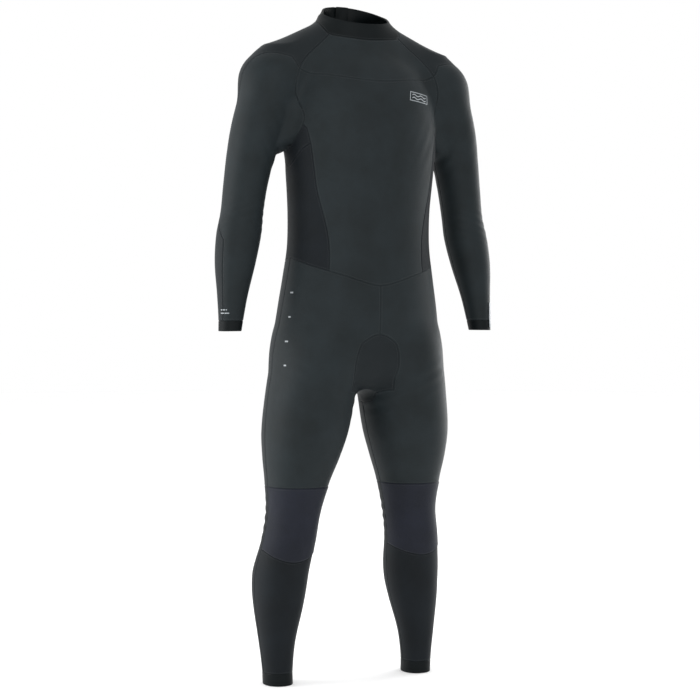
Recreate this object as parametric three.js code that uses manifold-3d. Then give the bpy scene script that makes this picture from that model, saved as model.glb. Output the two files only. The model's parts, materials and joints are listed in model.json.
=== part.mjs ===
// Full-length wetsuit, shaped as it is worn: separate neoprene panels that meet edge to edge
// at their seams, a closed back zip with slider and pull, a stand collar with its tab.
// Millimetres. +Z up, the front of the suit faces -Y, the wearer's left is +X.
// The origin is the middle of the neck base, where the suit hangs from the shoulders.
import * as THREE from 'three';
import Module from 'manifold-3d';

// ---------------------------------------------------------------- driving dimensions
const SKIN = 4;              // neoprene thickness
const PAD_RISE = 1.2;        // how far a knee pad stands proud of the leg
const SEAM_GAP = 0.3;        // slit between two neighbouring panels
const ZIP_HALF = 9;          // half the width of the slot the zip fills
const ZIP_TOP = 40;          // height of the zip's upper end
const ZIP_BOTTOM = -452;     // height of the zip's lower end
const BACK_LINE = [79.3, -0.028]; // y of the straight back seam at z = 0, and its slope
const COLLAR_RIM = [58, 0.42];  // height of the collar's rim at the neck axis, and its rise per mm
const NECK_AXIS_Y = 12;
const WEB_TORSO = 46;        // blend between arm and trunk
const WEB_LEGS = 40;         // blend between the two legs
const WEB_TRUNK = 24;        // blend of legs and trunk

// Body stations, top to bottom: [z, half width, front y, back y]
const TRUNK = [
  [40, 62, -48, 78], [0, 84, -60, 79], [-40, 122, -80, 80], [-80, 148, -104, 81],
  [-130, 164, -125, 83], [-190, 170, -139, 84.5], [-250, 168, -144, 86], [-310, 163, -141, 88],
  [-383, 158, -134, 90], [-455, 159, -132, 92], [-520, 168, -134, 99], [-590, 179, -135, 106],
  [-650, 186, -130, 110], [-705, 181, -116, 104], [-738, 150, -94, 88], [-760, 96, -58, 60],
];
// Limb stations: [z, x of the axis, y of the axis, half width, half depth]
const ARM = [
  [-34, 180, -4, 18, 22], [-48, 187, -5, 38, 42], [-60, 193, -5, 47, 51], [-90, 204, -8, 55, 59], [-140, 219, -11, 53, 61],
  [-200, 235, -9, 52, 59], [-260, 247, -5, 49, 55], [-330, 258, -3, 46, 50],
  [-383, 265, -3, 45, 47], [-430, 273, -5, 47.5, 48], [-490, 283, -10, 43, 45],
  [-560, 292, -17, 32, 34], [-610, 297, -21, 26, 28], [-636, 300, -23, 24, 26],
];
const LEG = [
  [-600, 88, -13, 80, 100], [-640, 92, -13, 88, 110], [-700, 99, -13, 93, 112],
  [-780, 111, -9, 95, 104], [-854, 121, -5, 92, 99], [-910, 128, 0, 82, 88],
  [-964, 134, 8, 69, 75], [-1030, 140, 17, 58, 64], [-1095, 149, 23, 57.5, 63],
  [-1160, 158, 42, 60, 66], [-1200, 161, 46, 58, 65], [-1240, 164, 44, 53, 58],
  [-1314, 169, 39, 39.5, 43], [-1370, 169, 37, 33, 37], [-1408, 168, 37, 32, 36],
];
const NECK = [[104, 0, 8, 65, 65.5], [40, 0, 11, 68, 67], [-30, 0, 12, 70, 66]];
const SHOULDER = { from: [0, 14, 9], to: [197, -4, -85], r: [61, 59] }; // ridge to the arm's head

// Raglan lines and the ridge between them, from the neck to the armpit: [x, z]
const RAGLAN_FRONT = [
  [80, 3], [112, -26], [146, -52], [166, -82], [171, -112], [168, -142], [160, -168], [151, -190]];
const RAGLAN_BACK = [
  [76, 42], [108, 12], [138, -26], [158, -64], [167, -100], [166, -136], [160, -166], [151, -192]];
const RIDGE = [
  [96, 46], [122, 29], [150, 10], [180, -7], [212, -24], [243, -54], [266, -112], [284, -185]];
const CHEST_Z = [-6, -38, -72, -105, -130, -155, -178, -200];    // heights at the centre front
const BACK_Z = [48, 8, -35, -75, -110, -145, -175, -205];        // heights at the centre back
const YOKE_ROW = 3;          // the chest seam
// Trunk rows below the armpit, heights at: centre front, princess seam, side, back seam, back
const TRUNK_ROWS = [
  [-200, -190, -245, -192, -205], [-222, -210, -266, -212, -228], [-246, -232, -292, -234, -252],
  [-278, -266, -316, -268, -284], [-315, -305, -342, -308, -320], [-350, -342, -368, -344, -354],
  [-388, -380, -394, -380, -390], [-425, -416, -420, -416, -424], [-470, -446, -442, -446, -455],
  [-547, -515, -470, -500, -520], [-590, -560, -530, -545, -565], [-644, -612, -585, -595, -615],
  [-678, -656, -634, -642, -660], [-714, -697, -678, -686, -704], [-748, -735, -718, -727, -745],
];
const GUSSET_ROW = 2, ZIP_END_ROW = 8, WAIST_ROW = 9, HIP_ROW = 12;
// How far round the trunk each row's princess and back seams lie, in degrees from the front
const PRINCESS = [59, 57, 55, 53, 52, 50, 45, 41, 38, 36, 38, 42, 46, 50, 54];
const BACK_SEAM = [121, 124, 127, 129, 130, 132, 135, 138, 140, 140, 138, 136, 134, 132, 128];
const TONGUE = [0, 0, 0, 0, 0, 0, 0, 0, 0, 0, 0, 24, 46, 58, 48]; // half width of the crotch tongue
// Leg rows: heights at the front, the outer side, the back and the inner side
const LEG_ROWS = [
  [-772, -760, -772, -794], [-806, -802, -806, -822], [-848, -848, -848, -850],
  [-890, -890, -890, -890], [-932, -932, -932, -932], [-974, -974, -974, -974],
  [-1010, -1008, -1008, -1008], [-1046, -1042, -1042, -1042], [-1086, -1076, -1084, -1076],
  [-1142, -1108, -1130, -1112], [-1168, -1146, -1160, -1148], [-1194, -1190, -1192, -1190],
  [-1228, -1228, -1228, -1228], [-1268, -1268, -1268, -1268], [-1308, -1308, -1308, -1308],
  [-1348, -1348, -1348, -1348], [-1383, -1383, -1383, -1383], [-1408, -1408, -1408, -1408],
];
const THIGH_ROW = 4, PAD_TOP = 6, PAD_BOTTOM = 10, ANKLE_ROW = 17; // rows that are seams
// Sleeve rows below the armpit, heights at the outer and the inner side
const SLEEVE_ROWS = [
  [-228, -266], [-282, -286], [-304, -304], [-325, -325], [-352, -352], [-383, -383],
  [-414, -414], [-445, -445], [-482, -482], [-520, -520], [-558, -558], [-590, -590],
  [-614, -614], [-636, -636],
];
const ARM_ROW = 2, ELBOW_TOP = 4, ELBOW_BOTTOM = 8, WRIST_ROW = 13;

// ---------------------------------------------------------------- finishes
const finish = (color, roughness, metalness = 0) =>
  new THREE.MeshStandardMaterial({ color, roughness, metalness });
const JERSEY = finish('#2a2f32', 0.86);
const PANEL = finish('#24292c', 0.88);
const PAD = finish('#282b35', 0.8);
const SMOOTH = finish('#1f2427', 0.55);
const TAPE = finish('#15181a', 0.9);
const CHAIN = finish('#1a1c1e', 0.45);
const METAL = finish('#4a4d50', 0.35, 0.9);
const PRINT = finish('#b4b9bd', 0.4);
const TAB = finish('#c9cdd0', 0.45);

// ---------------------------------------------------------------- vectors
const add = (a, b, k = 1) => [a[0] + b[0] * k, a[1] + b[1] * k, a[2] + b[2] * k];
const sub = (a, b) => add(a, b, -1);
const dot = (a, b) => a[0] * b[0] + a[1] * b[1] + a[2] * b[2];
const cross = (a, b) =>
  [a[1] * b[2] - a[2] * b[1], a[2] * b[0] - a[0] * b[2], a[0] * b[1] - a[1] * b[0]];
const unit = (a) => { const l = Math.hypot(...a) || 1; return [a[0] / l, a[1] / l, a[2] / l]; };
const mix = (a, b, t) => a.map((v, i) => v + (b[i] - v) * t);
const smooth = (t) => { const u = Math.min(Math.max(t, 0), 1); return u * u * (3 - 2 * u); };

// ---------------------------------------------------------------- the wearer's shape
// A station table read at height z, with a smooth curve through the stations.
function at(table, z) {
  let i = 0;
  while (i < table.length - 2 && z < table[i + 1][0]) i++;
  const [a, b] = [table[i], table[i + 1]];
  const t = Math.min(Math.max((z - a[0]) / (b[0] - a[0]), 0), 1);
  const p = table[Math.max(i - 1, 0)], q = table[Math.min(i + 2, table.length - 1)];
  return a.map((_, k) => {
    const run = b[0] - a[0];
    const m0 = p === a ? b[k] - a[k] : (b[k] - p[k]) / (b[0] - p[0]) * run;
    const m1 = q === b ? b[k] - a[k] : (q[k] - a[k]) / (q[0] - a[0]) * run;
    const t2 = t * t, t3 = t2 * t;
    return (2 * t3 - 3 * t2 + 1) * a[k] + (t3 - 2 * t2 + t) * m0
      + (3 * t2 - 2 * t3) * b[k] + (t3 - t2) * m1;
  });
}
const oval = (dx, dy, rx, ry, n) =>
  ((Math.abs(dx / rx) ** n + Math.abs(dy / ry) ** n) ** (1 / n) - 1) * Math.min(rx, ry);
const limb = (table, [x, y, z], n = 2.1) => {
  const [, cx, cy, rx, ry] = at(table, z);
  const foot = table[table.length - 1][0] - 5;
  return Math.max(oval(Math.abs(x) - cx, y - cy, rx, ry, n), z - table[0][0], foot - z);
};
const blend = (a, b, k) => {
  const h = Math.max(k - Math.abs(a - b), 0) / k;
  return Math.min(a, b) - h * h * k / 4;
};
function ridge([x, y, z]) {
  const { from, to, r } = SHOULDER;
  const p = [Math.abs(x), y, z], axis = sub(to, from);
  const t = Math.min(Math.max(dot(sub(p, from), axis) / dot(axis, axis), 0), 1);
  return Math.hypot(...sub(p, add(from, axis, t))) - (r[0] + (r[1] - r[0]) * t);
}
// Below zero inside the body, above it outside.
function body(p) {
  const [, w, front, back] = at(TRUNK, p[2]);
  const trunk = Math.max(oval(p[0], p[1] - (front + back) / 2, w, (back - front) / 2, 2.35),
    p[2] - TRUNK[0][0], TRUNK[TRUNK.length - 1][0] - p[2]);
  const arms = limb(ARM, p);
  const top = blend(blend(trunk, limb(NECK, p), 30), ridge(p), 30);
  const [left, right] = [1, -1].map((s) => {
    const [, cx, cy, rx, ry] = at(LEG, p[2]);
    return Math.max(oval(p[0] - s * cx, p[1] - cy, rx, ry, 2.15), p[2] - LEG[0][0]);
  });
  const lower = blend(blend(left, right, WEB_LEGS), top, WEB_TRUNK);
  return blend(lower, arms, WEB_TORSO);
}
function outward(p) {
  const h = 0.4;
  return unit([0, 1, 2].map((k) => {
    const e = [0, 0, 0]; e[k] = h;
    return body(add(p, e)) - body(sub(p, e));
  }));
}
// The point where a ray first passes out of the body (sign 1) or into it (sign -1).
function reach(from, dir, sign = 1, step = 3) {
  const d = unit(dir);
  let t = 0;
  while (sign * body(add(from, d, t)) <= 0 && t < 900) t += step;
  let lo = t - step, hi = t;
  for (let i = 0; i < 22; i++) {
    const m = (lo + hi) / 2;
    if (sign * body(add(from, d, m)) <= 0) lo = m; else hi = m;
  }
  return add(from, d, lo);
}

// ---------------------------------------------------------------- the sheet of panels
const nodes = [];            // every point of the suit's surface: {p, n}
const faces = [];            // {v: point numbers, outward when counter-clockwise; panel}
const known = new Map();
function point(key, s, make) {
  const id = `${key}|${s}`;
  if (known.has(id)) return known.get(id);
  const made = make();
  const onPlane = Math.abs(made.p[0]) < 1e-6;
  const mirror = `${key}|${-s}`;
  if (onPlane && known.has(mirror)) return known.get(mirror);
  const p = [made.p[0] * s, made.p[1], made.p[2]];
  let n = made.n || outward(p);
  if (made.n) n = [made.n[0] * s, made.n[1], made.n[2]];
  if (onPlane) n = unit([0, n[1], n[2]]);
  if (made.level) n = unit([n[0], n[1], 0]);
  nodes.push({ p, n });
  known.set(id, nodes.length - 1);
  return nodes.length - 1;
}
// Four corners counter-clockwise from outside on the +X side; the mirror image turns them round.
function quad(s, v, panel) {
  const name = panel.replace('*', s > 0 ? 'left' : 'right');
  faces.push({ v: s > 0 ? v : [...v].reverse(), panel: name });
}
const curve = (list, c, stops) => { // smooth value at c through the values at the stops
  let i = 0;
  while (i < stops.length - 2 && c > stops[i + 1]) i++;
  const t = (c - stops[i]) / (stops[i + 1] - stops[i]);
  return list[i] + (list[i + 1] - list[i]) * (t * t * (3 - 2 * t) * 0.5 + t * 0.5);
};

// Upper part: columns 0-4 the chest, 4-12 over the shoulder, 12-16 the back.
const SPREAD = [0, 0.26, 0.52, 0.77, 1];
function upperPoint(r, c, s) {
  const [fx, fz] = RAGLAN_FRONT[r], [bx, bz] = RAGLAN_BACK[r];
  if (c <= 4) {
    return point(`u${r},${c}`, s, () => {
      const k = SPREAD[c];
      const z = CHEST_Z[r] + (fz - CHEST_Z[r]) * k ** 1.6;
      return { p: reach([fx * k, -260, z], [0, 1, 0], -1) };
    });
  }
  if (c >= 12) {
    return point(`u${r},${c}`, s, () => {
      const k = [1, 0.7, 0.38, ZIP_HALF / bx, 0][c - 12];
      const z = BACK_Z[r] + (bz - BACK_Z[r]) * k ** 1.6;
      const p = reach([bx * k, 260, z], [0, -1, 0], -1);
      if (c >= 15) p[1] = BACK_LINE[0] + BACK_LINE[1] * z;
      return { p };
    });
  }
  return point(`u${r},${c}`, s, () => {
    const front = nodes[upperPoint(r, 4, s)].p, back = nodes[upperPoint(r, 12, s)].p;
    const f = [Math.abs(front[0]), front[1], front[2]], b = [Math.abs(back[0]), back[1], back[2]];
    const [tx, tz] = RIDGE[r];
    const mid = mix(f, b, 0.5), e1 = mix(f, b, 0.5).map((v, i) => f[i] - v);
    const lift = sub([tx, mid[1] * 0.6 + 4, tz], mid);
    const a = Math.PI * (c - 4) / 8;
    const guess = add(add(mid, e1, Math.cos(a)), lift, Math.sin(a));
    const core = add(mid, lift, -0.15);
    return { p: reach(core, sub(guess, core)) };
  });
}
// The edge under the arm, from the front end of the raglan seam (4) to its back end (8).
function pitPoint(j, s) {
  if (j === 4) return upperPoint(7, 4, s);
  if (j === 8) return upperPoint(7, 12, s);
  return point(`pit${j}`, s, () => {
    const y = [-50, -14, 19][j - 5], x = [169, 171, 169][j - 5];
    return { p: reach([x, y, -330], [0, 0, 1], -1, 1.5) };
  });
}
// Trunk: columns 0-4 front, 4-8 side, 8-12 back.
function trunkPoint(k, j, s) {
  if (k === 0) {
    if (j <= 4) return upperPoint(7, j, s);
    if (j >= 8) return upperPoint(7, j + 4, s);
    return pitPoint(j, s);
  }
  return point(`t${k},${j}`, s, () => {
    const z = curve(TRUNK_ROWS[k], j, [0, 4, 6, 8, 12]);
    const [, , front, back] = at(TRUNK, z);
    const core = [0, (front + back) / 2, z];
    if (j === 1 && TONGUE[k]) {
      return { p: reach([TONGUE[k], -300, z + (k === 12 ? 10 : 0)], [0, 1, 0], -1) };
    }
    if (j >= 11) {
      const p = reach([j === 11 ? ZIP_HALF : 0, 300, z], [0, -1, 0], -1);
      if (k <= ZIP_END_ROW) p[1] = BACK_LINE[0] + BACK_LINE[1] * z;
      return { p };
    }
    let deg = PRINCESS[k] * SPREAD[Math.min(j, 4)];
    if (j > 4) deg = PRINCESS[k] + (BACK_SEAM[k] - PRINCESS[k]) * (j - 4) / 4;
    if (j > 8) deg = BACK_SEAM[k] + (180 - BACK_SEAM[k]) * [0, 0.3, 0.62][j - 8];
    const a = deg * Math.PI / 180;
    const half = at(TRUNK, z);
    const dir = [half[1] * Math.sin(a), -(back - front) / 2 * Math.cos(a), 0];
    return { p: reach(core, dir) };
  });
}
// The edge under the crotch, from the back (12) to the front (16).
function crotchPoint(i, s) {
  if (i === 12) return trunkPoint(14, 12, s);
  if (i === 16) return trunkPoint(14, 0, s);
  return point(`crotch${i}`, s, () =>
    ({ p: reach([0, [42, -2, -46][i - 13], -940], [0, 0, 1], -1, 1.5) }));
}
// Legs: point 0 is the front of the crotch, 6 the outer seam, 12 the back, 14 the inner seam.
function legPoint(m, i, s) {
  if (m === 0) return i <= 12 ? trunkPoint(14, i, s) : crotchPoint(i, s);
  return point(`l${m},${i % 16}`, s, () => {
    const top = nodes[legPoint(0, i, s)].p;
    const even = (i - 6) * Math.PI / 8;
    const [front, outer, back, inner] = LEG_ROWS[m - 1];
    const z = curve([outer, back, inner, front, outer, back], (i + 10) % 16,
      [0, 4, 8, 12, 16, 20]);
    const [, cx, cy] = at(LEG, z);
    const own = at(LEG, top[2]);
    let start = Math.atan2(top[1] - own[2], Math.abs(top[0]) - own[1]);
    if (i >= 12 && start < 0) start += 2 * Math.PI;
    while (start - even > Math.PI) start -= 2 * Math.PI;
    while (even - start > Math.PI) start += 2 * Math.PI;
    const a = start + (even - start) * smooth(m / 4);
    const p = reach([cx, cy, z], [Math.cos(a), Math.sin(a), 0]);
    return { p, level: m === LEG_ROWS.length };
  });
}
// Sleeves: points 0-8 round the outer side from front to back, 8-12 along the inner side.
function sleevePoint(q, c, s) {
  if (q === 0) return c <= 8 ? upperPoint(7, c + 4, s) : pitPoint(8 - (c - 8), s);
  return point(`s${q},${c % 12}`, s, () => {
    const top = nodes[sleevePoint(0, c, s)].p;
    const even = (c <= 8 ? -130 + c * 32.5 : 130 + (c - 8) * 25) * Math.PI / 180;
    const [outer, inner] = SLEEVE_ROWS[q - 1];
    const z = outer + (inner - outer) * (0.5 - 0.5 * Math.cos(even));
    const own = at(ARM, top[2]);
    let start = Math.atan2(top[1] - own[2], Math.abs(top[0]) - own[1]);
    while (start - even > Math.PI) start -= 2 * Math.PI;
    while (even - start > Math.PI) start += 2 * Math.PI;
    const a = start + (even - start) * smooth((q + 1) / 4);
    const [, cx, cy] = at(ARM, z);
    return { p: reach([cx, cy, z], [Math.cos(a), Math.sin(a), 0]),
      level: q === SLEEVE_ROWS.length };
  });
}
// Collar: the neck seam's points carried up to a flat sloping rim.
function collarPoint(r, c, s) {
  if (r === 0) return upperPoint(0, c, s);
  return point(`c${r},${c}`, s, () => {
    const low = nodes[upperPoint(0, c, s)].p;
    const a = Math.atan2(low[1] - NECK_AXIS_Y, Math.abs(low[0]));
    const side = c === 15 ? ZIP_HALF : null;
    let p = [Math.abs(low[0]), low[1], low[2]];
    for (let i = 0; i < 6; i++) {
      const rim = COLLAR_RIM[0] + COLLAR_RIM[1] * (p[1] - NECK_AXIS_Y);
      const z = low[2] + (rim - low[2]) * r / 2;
      p = side === null ? reach([0, NECK_AXIS_Y, z], [Math.cos(a), Math.sin(a), 0])
        : reach([side, 260, z], [0, -1, 0], -1);
    }
    return { p };
  });
}

for (const s of [1, -1]) {
  for (let r = 0; r < 2; r++) {
    for (let c = 0; c < 15; c++) {
      quad(s, [collarPoint(r, c, s), collarPoint(r, c + 1, s), collarPoint(r + 1, c + 1, s),
        collarPoint(r + 1, c, s)], 'collar_band');
    }
  }
  for (let r = 0; r < 7; r++) {
    for (let c = 0; c < 15; c++) {
      let panel = r < YOKE_ROW ? 'chest_yoke' : 'front_torso_panel';
      if (c >= 4) panel = r < 4 ? 'shoulder_panel_*' : 'shoulder_band_*';
      if (c >= 12) panel = 'back_panel_*';
      quad(s, [upperPoint(r, c, s), upperPoint(r + 1, c, s), upperPoint(r + 1, c + 1, s),
        upperPoint(r, c + 1, s)], panel);
    }
  }
  for (let k = 0; k < 14; k++) {
    for (let j = 0; j < 12; j++) {
      if (j === 11 && k < ZIP_END_ROW) continue;
      let panel = 'front_torso_panel';
      if (j >= 4) panel = k < GUSSET_ROW ? 'underarm_gusset_*' : 'side_panel_*';
      if (j >= 8) panel = k < ZIP_END_ROW ? 'back_panel_*' : 'lumbar_panel';
      if (k >= WAIST_ROW) panel = j < 6 ? 'front_hip_panel_*' : 'seat_panel_*';
      if (k >= HIP_ROW) panel = 'hip_band_*';
      if (k >= 11 && j === 0) panel = 'crotch_gusset';
      if (k >= 13 && j === 11) panel = 'crotch_gusset';
      const [a, b, c, d] = [trunkPoint(k, j, s), trunkPoint(k + 1, j, s),
        trunkPoint(k + 1, j + 1, s), trunkPoint(k, j + 1, s)];
      if (k === 11 && j === 0) {   // the seam rounds the top of the tongue
        quad(s, [a, b, c], panel);
        quad(s, [a, c, d], 'front_hip_panel_*');
      } else quad(s, [a, b, c, d], panel);
    }
  }
  for (let m = 0; m < 18; m++) {
    for (let i = 0; i < 16; i++) {
      const front = i < 6 || i >= 14;
      let panel = front ? 'thigh_front_*' : 'thigh_back_*';
      if (m < THIGH_ROW) panel = 'hip_band_*';
      if (m === 0 && (i >= 11 || i < 1)) panel = 'crotch_gusset';
      if (m >= PAD_TOP) panel = front ? 'knee_pad_*' : 'knee_back_*';
      if (m >= PAD_BOTTOM) panel = front ? 'shin_panel_*' : 'calf_panel_*';
      if (m >= ANKLE_ROW) panel = 'ankle_cuff_*';
      quad(s, [legPoint(m, i, s), legPoint(m + 1, i, s), legPoint(m + 1, i + 1, s),
        legPoint(m, i + 1, s)], panel);
    }
  }
  for (let q = 0; q < 14; q++) {
    for (let c = 0; c < 12; c++) {
      const seam = q < ELBOW_BOTTOM ? 5 : 3;
      const front = c < seam || c >= 10;
      let panel = front ? 'upper_sleeve_front_*' : 'upper_sleeve_back_*';
      if (q < ARM_ROW) panel = 'shoulder_band_*';
      if (q >= ELBOW_TOP) panel = 'elbow_band_*';
      if (q >= ELBOW_BOTTOM) panel = front ? 'forearm_front_*' : 'forearm_back_*';
      if (q >= WRIST_ROW) panel = 'wrist_cuff_*';
      quad(s, [sleevePoint(q, c, s), sleevePoint(q + 1, c, s), sleevePoint(q + 1, c + 1, s),
        sleevePoint(q, c + 1, s)], panel);
    }
  }
}

// ---------------------------------------------------------------- panels into solids
const group = new THREE.Group();
function piece(name, corners, triangles, material) {
  const geometry = new THREE.BufferGeometry();
  geometry.setAttribute('position', new THREE.Float32BufferAttribute(corners.flat(), 3));
  geometry.setIndex(triangles.flat());
  geometry.computeVertexNormals();
  const mesh = new THREE.Mesh(geometry, material);
  mesh.name = name;
  group.add(mesh);
}
// A closed panel from some faces: an outer and an inner skin joined by walls along every edge.
function panelSolid(name, list, material, rise = 0, thick = SKIN, inset = SEAM_GAP / 2) {
  const edges = new Map();
  for (const f of list) {
    f.v.forEach((a, i) => {
      const b = f.v[(i + 1) % f.v.length];
      const back = `${b},${a}`;
      if (edges.has(back)) edges.delete(back); else edges.set(`${a},${b}`, [a, b]);
    });
  }
  const pull = new Map();
  for (const [a, b] of edges.values()) {
    const away = unit(sub(nodes[b].p, nodes[a].p));
    for (const v of [a, b]) {
      const into = unit(cross(nodes[v].n, away));
      pull.set(v, [...(pull.get(v) || []), into]);
    }
  }
  const local = new Map(), corners = [];
  const place = (v) => {
    if (local.has(v)) return local.get(v);
    const { p, n } = nodes[v];
    let move = [0, 0, 0];
    const ways = pull.get(v) || [];
    if (ways.length) {
      const sum = unit(ways.reduce((a, b) => add(a, b)));
      move = sum.map((x) => x * inset / Math.max(dot(sum, ways[0]), 0.35));
    }
    corners.push(add(add(p, n, rise), move), add(add(p, n, -thick), move));
    local.set(v, corners.length / 2 - 1);
    return local.get(v);
  };
  const triangles = [];
  for (const f of list) {
    const v = f.v.map(place);
    const lowest = f.v.indexOf(Math.min(...f.v));
    for (let i = 1; i < v.length - 1; i++) {
      const [a, b, c] = [lowest, lowest + i, lowest + i + 1].map((k) => v[k % v.length]);
      triangles.push([2 * a, 2 * b, 2 * c], [2 * a + 1, 2 * c + 1, 2 * b + 1]);
    }
  }
  for (const [a, b] of edges.values()) {
    const [i, j] = [place(a), place(b)];
    if (a < b) triangles.push([2 * i, 2 * i + 1, 2 * j], [2 * j, 2 * i + 1, 2 * j + 1]);
    else triangles.push([2 * i, 2 * j + 1, 2 * j], [2 * i, 2 * i + 1, 2 * j + 1]);
  }
  piece(name, corners, triangles, material);
}
const panels = new Map();
for (const f of faces) panels.set(f.panel, [...(panels.get(f.panel) || []), f]);
for (const [name, list] of panels) {
  let material = JERSEY;
  if (/side_panel|gusset|back/.test(name)) material = PANEL;
  if (/knee_pad/.test(name)) material = PAD;
  if (/collar|cuff/.test(name)) material = SMOOTH;
  panelSolid(name, list, material, /knee_pad/.test(name) ? PAD_RISE : 0);
}

// ---------------------------------------------------------------- small pieces
// A closed plate from a grid of points with normals, lifted off them by `lift`.
function plate(name, grid, lift, thick, material) {
  const rows = grid.length, cols = grid[0].length, size = rows * cols;
  const low = grid.flat().map(({ p, n }) => add(p, n, lift));
  const high = grid.flat().map(({ p, n }) => add(p, n, lift + thick));
  const triangles = [];
  const flap = (a, b, c, d) => triangles.push([a, b, c], [a, c, d]);
  const id = (i, j) => i * cols + j;
  for (let i = 0; i < rows - 1; i++) {
    for (let j = 0; j < cols - 1; j++) {
      const [a, b, c, d] = [id(i, j), id(i + 1, j), id(i + 1, j + 1), id(i, j + 1)];
      flap(size + a, size + b, size + c, size + d);
      flap(d, c, b, a);
    }
  }
  const rim = [];
  for (let i = 0; i < rows - 1; i++) rim.push(id(i, 0));
  for (let j = 0; j < cols - 1; j++) rim.push(id(rows - 1, j));
  for (let i = rows - 1; i > 0; i--) rim.push(id(i, cols - 1));
  for (let j = cols - 1; j > 0; j--) rim.push(id(0, j));
  rim.forEach((a, k) => {
    const b = rim[(k + 1) % rim.length];
    flap(a, b, size + b, size + a);
  });
  const [a, b, d] = [grid[0][0], grid[1][0], grid[0][1]];
  const turn = dot(cross(sub(b.p, a.p), sub(d.p, a.p)), a.n) < 0;
  piece(name, [...low, ...high], turn ? triangles.map((t) => [...t].reverse()) : triangles,
    material);
}
// Where a ray from outside meets the suit.
const land = (from, dir) => {
  const p = reach(from, dir, -1, 2);
  return { p, n: outward(p) };
};
const steps = (a, b, n) => Array.from({ length: n + 1 }, (_, i) => a + (b - a) * i / n);

// Zip: everything sits in a straight frame that runs up the back seam.
const UP = unit([0, BACK_LINE[1], 1]), OUT = unit([0, 1, -BACK_LINE[1]]);
const onZip = (x, w, t) => add(add([x, BACK_LINE[0], 0], UP, t), OUT, w);
// A solid with a flat outline [across, along], standing from w0 to w1 off the seam.
function zipPlate(outline, w0, w1) {
  const flat = THREE.ShapeUtils.triangulateShape(outline.map(([x, t]) => new THREE.Vector2(x, t)),
    []);
  const count = outline.length;
  const corners = [w0, w1].flatMap((w) => outline.map(([x, t]) => onZip(x, w, t)));
  const sides = outline.flatMap((_, i) => {
    const j = (i + 1) % count;
    return [[i, i + count, j + count], [i, j + count, j]];
  });
  return { corners, triangles: [...flat.map(([a, b, c]) => [a, b, c]),
    ...flat.map(([a, b, c]) => [a + count, c + count, b + count]), ...sides] };
}
const box = (x0, x1, t0, t1) => [[x0, t0], [x1, t0], [x1, t1], [x0, t1]];
const wasm = await Module();
wasm.setup();
const manifold = ({ corners, triangles }) => new wasm.Manifold(new wasm.Mesh({ numProp: 3,
  vertProperties: new Float32Array(corners.flat()), triVerts: new Uint32Array(triangles.flat()) }));
function merged(name, solids, holes, material) {
  let whole = solids.map(manifold).reduce((a, b) => a.add(b));
  for (const hole of holes.map(manifold)) whole = whole.subtract(hole);
  const { vertProperties, triVerts, numProp } = whole.getMesh();
  const corners = [];
  for (let i = 0; i < vertProperties.length; i += numProp) {
    corners.push([vertProperties[i], vertProperties[i + 1], vertProperties[i + 2]]);
  }
  piece(name, corners, [Array.from(triVerts)], material);
}
const TOOTH = 10;            // pitch of the ribs along the closed chain
for (const s of [1, -1]) {
  const [x0, x1] = s > 0 ? [2.6, ZIP_HALF - 0.2] : [-ZIP_HALF + 0.2, -2.6];
  merged(`zip_tape_${s > 0 ? 'left' : 'right'}`,
    [zipPlate(box(x0, x1, ZIP_BOTTOM + 0.6, ZIP_TOP + 26), -3, -1.2)], [], TAPE);
}
const ribs = steps(ZIP_BOTTOM + 8, ZIP_TOP, Math.round((ZIP_TOP - ZIP_BOTTOM - 8) / TOOTH));
const ribbed = (s) => ribs.slice(0, -1).flatMap((t) =>
  [[1.7 * s, t + 0.1], [2.3 * s, t + 2], [2.3 * s, t + TOOTH - 2]]);
merged('zip_chain', [zipPlate([...ribbed(1), [1.7, ZIP_TOP], [-1.7, ZIP_TOP],
  ...ribbed(-1).reverse()], -2.8, -0.4)], [], CHAIN);
merged('zip_bottom_stop', [zipPlate(box(-8.4, 8.4, ZIP_BOTTOM + 1, ZIP_BOTTOM + 7), -0.9, 1.1)],
  [], METAL);
const SLIDE_Z = 22;          // lower end of the slider when the zip is closed
const wings = [[-4, 0], [4, 0], [6, 5], [6, 15], [4.6, 17], [-4.6, 17], [-6, 15], [-6, 5]]
  .map(([x, t]) => [x, t + SLIDE_Z]);
merged('zip_slider', [zipPlate(wings, -0.1, 1.9),
  zipPlate(box(-1.1, 1.1, SLIDE_Z + 4, SLIDE_Z + 12), 1.8, 5.2)],
  [zipPlate(box(-2, 2, SLIDE_Z + 6.2, SLIDE_Z + 9.8), 2.2, 4.4)], METAL);
const PULL = SLIDE_Z + 8;    // height of the pull's hinge
merged('zip_pull_tab', [zipPlate(box(-3.4, 3.4, PULL - 0.8, PULL + 0.8), 2.7, 3.9),
  ...[-1, 1].map((s) => zipPlate(box(s > 0 ? 1.5 : -3.4, s > 0 ? 3.4 : -1.5, PULL - 9, PULL + 0.8),
    2.7, 3.9)),
  zipPlate([[-3.4, PULL - 40], [3.4, PULL - 40], [4.6, PULL - 37], [4.6, PULL - 12],
    [3.4, PULL - 8], [-3.4, PULL - 8], [-4.6, PULL - 12], [-4.6, PULL - 37]], 2.7, 3.9)], [], METAL);
// Flap behind the zip, parallel to the inside of the two back panels.
const flapRow = (pick) => {
  const half = [1, -1].map((s) => {
    const edge = nodes[pick(15, s)], next = nodes[pick(14, s)];
    return [{ p: mix(edge.p, next.p, 0.45), n: unit(mix(edge.n, next.n, 0.45)) }, edge];
  });
  return [half[0][0], half[0][1], half[1][1], half[1][0]];
};
const flapGrid = [...steps(2, 1, 1).map((r) => flapRow((c, s) => collarPoint(r, c, s))),
  ...steps(0, 7, 7).map((r) => flapRow((c, s) => upperPoint(r, c, s))),
  ...steps(1, 8, 7).map((k) => flapRow((c, s) => trunkPoint(k, c - 4, s)))];
plate('zip_backing_flap', flapGrid.reverse(), -SKIN - 2.4, 1.6, SMOOTH);

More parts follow.
